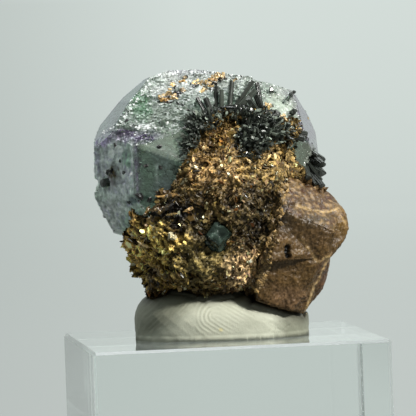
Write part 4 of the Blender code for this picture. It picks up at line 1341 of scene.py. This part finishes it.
# A lamp: its place, its width in metres, its power and its colour.
LAMPS = {
    "key": ((0.24, -0.25, 0.285), 0.06, 3.2, (1.0, 0.98, 0.94)),
    "top": ((-0.02, 0.0, 0.48), 0.2, 2.4, (0.95, 0.98, 1.0)),
}
# How far the camera looks down and is rolled, in degrees.
CAMERA_DOWN = 2.39
CAMERA_ROLL = -2.09
CAMERA_LENS = 372.1

profile = bmesh.new()
spots = [(0.0001, 0, SWEEP_FLOOR)]
for step in range(SWEEP_STEPS + 1):
    angle = math.pi / 2 * step / SWEEP_STEPS
    across = SWEEP_RADIUS - SWEEP_BEND + SWEEP_BEND * math.sin(angle)
    spots.append((across, 0, SWEEP_FLOOR + SWEEP_BEND * (1 - math.cos(angle))))
spots.append((SWEEP_RADIUS, 0, SWEEP_HEIGHT))
line = [profile.verts.new(spot) for spot in spots]
edges = [profile.edges.new(pair) for pair in zip(line, line[1:])]
bmesh.ops.spin(
    profile, geom=line + edges, cent=(0, 0, 0), axis=(0, 0, 1), angle=2 * math.pi, steps=64, use_merge=True
)
bmesh.ops.remove_doubles(profile, verts=profile.verts, dist=0.0005)
bmesh.ops.recalc_face_normals(profile, faces=profile.faces)
sweep_mesh = bpy.data.meshes.new("sweep")
profile.to_mesh(sweep_mesh)
profile.free()
sweep_mesh.shade_smooth()
sweep = new_object("sweep", sweep_mesh)
paper, shader = new_finish("paper", (0.05, 0.05, 0.05), Roughness=0.9, Specular_IOR_Level=0.1)
tree = paper.node_tree
place = add_node(tree, "TexCoord").outputs["Object"]
level = compute(tree, "MULTIPLY", place, (1, 1, 0), kind="VectorMath")
away = add_node(tree, "VectorMath", {0: level}, operation="LENGTH").outputs["Value"]
lit = add_node(tree, "ValToRGB", {"Fac": away})
for spot, bright in SWEEP_LIGHT:
    lit.color_ramp.elements.new(spot).color = (bright, bright, bright, 1)
lit.color_ramp.elements.remove(lit.color_ramp.elements[-1])
glow = lit.outputs["Color"]
turned = add_node(tree, "VectorRotate", {"Vector": place, "Angle": -SPECIMEN_TURN}, rotation_type="Z_AXIS")
sides = add_node(tree, "SeparateXYZ", {"Vector": turned.outputs["Vector"]}).outputs
for axis, fade in SWEEP_FADES.items():
    glow = compute(tree, "MULTIPLY", glow, remap(tree, sides[axis], *fade))
tree.links.new(glow, shader.inputs["Emission Strength"])
shader.inputs["Emission Color"].default_value = (*SWEEP_TONE, 1)
sweep_mesh.materials.append(paper)

world = bpy.data.worlds.new("studio")
world.use_nodes = True
sky = world.node_tree.nodes["Background"].inputs
sky["Color"].default_value = (*SKY_TONE, 1)
sky["Strength"].default_value = SKY_STRENGTH
bpy.context.scene.world = world

for name, (spot, width, power, colour) in LAMPS.items():
    lamp = bpy.data.lights.new(name, "AREA")
    lamp.shape = "SQUARE"
    lamp.size = width
    lamp.energy = power
    lamp.color = colour
    holder = new_object(name, lamp)
    holder.location = spot
    holder.rotation_euler = (SPECIMEN_MIDDLE - holder.location).to_track_quat("-Z", "Y").to_euler()

camera = bpy.data.cameras.new("camera")
camera.sensor_width = 36.0
camera.lens = CAMERA_LENS
camera.clip_start = 0.01
camera.clip_end = 10.0
viewer = new_object("camera", camera)
down = Matrix.Rotation(math.radians(90 - CAMERA_DOWN), 4, "X")
roll = Matrix.Rotation(math.radians(CAMERA_ROLL), 4, "Z")
ahead = Matrix.Translation(TO_WORLD @ EYE) @ Matrix.Rotation(SPECIMEN_TURN, 4, "Z")
viewer.matrix_world = ahead @ down @ roll
bpy.context.scene.camera = viewer
bpy.context.scene.view_settings.view_transform = "Standard"
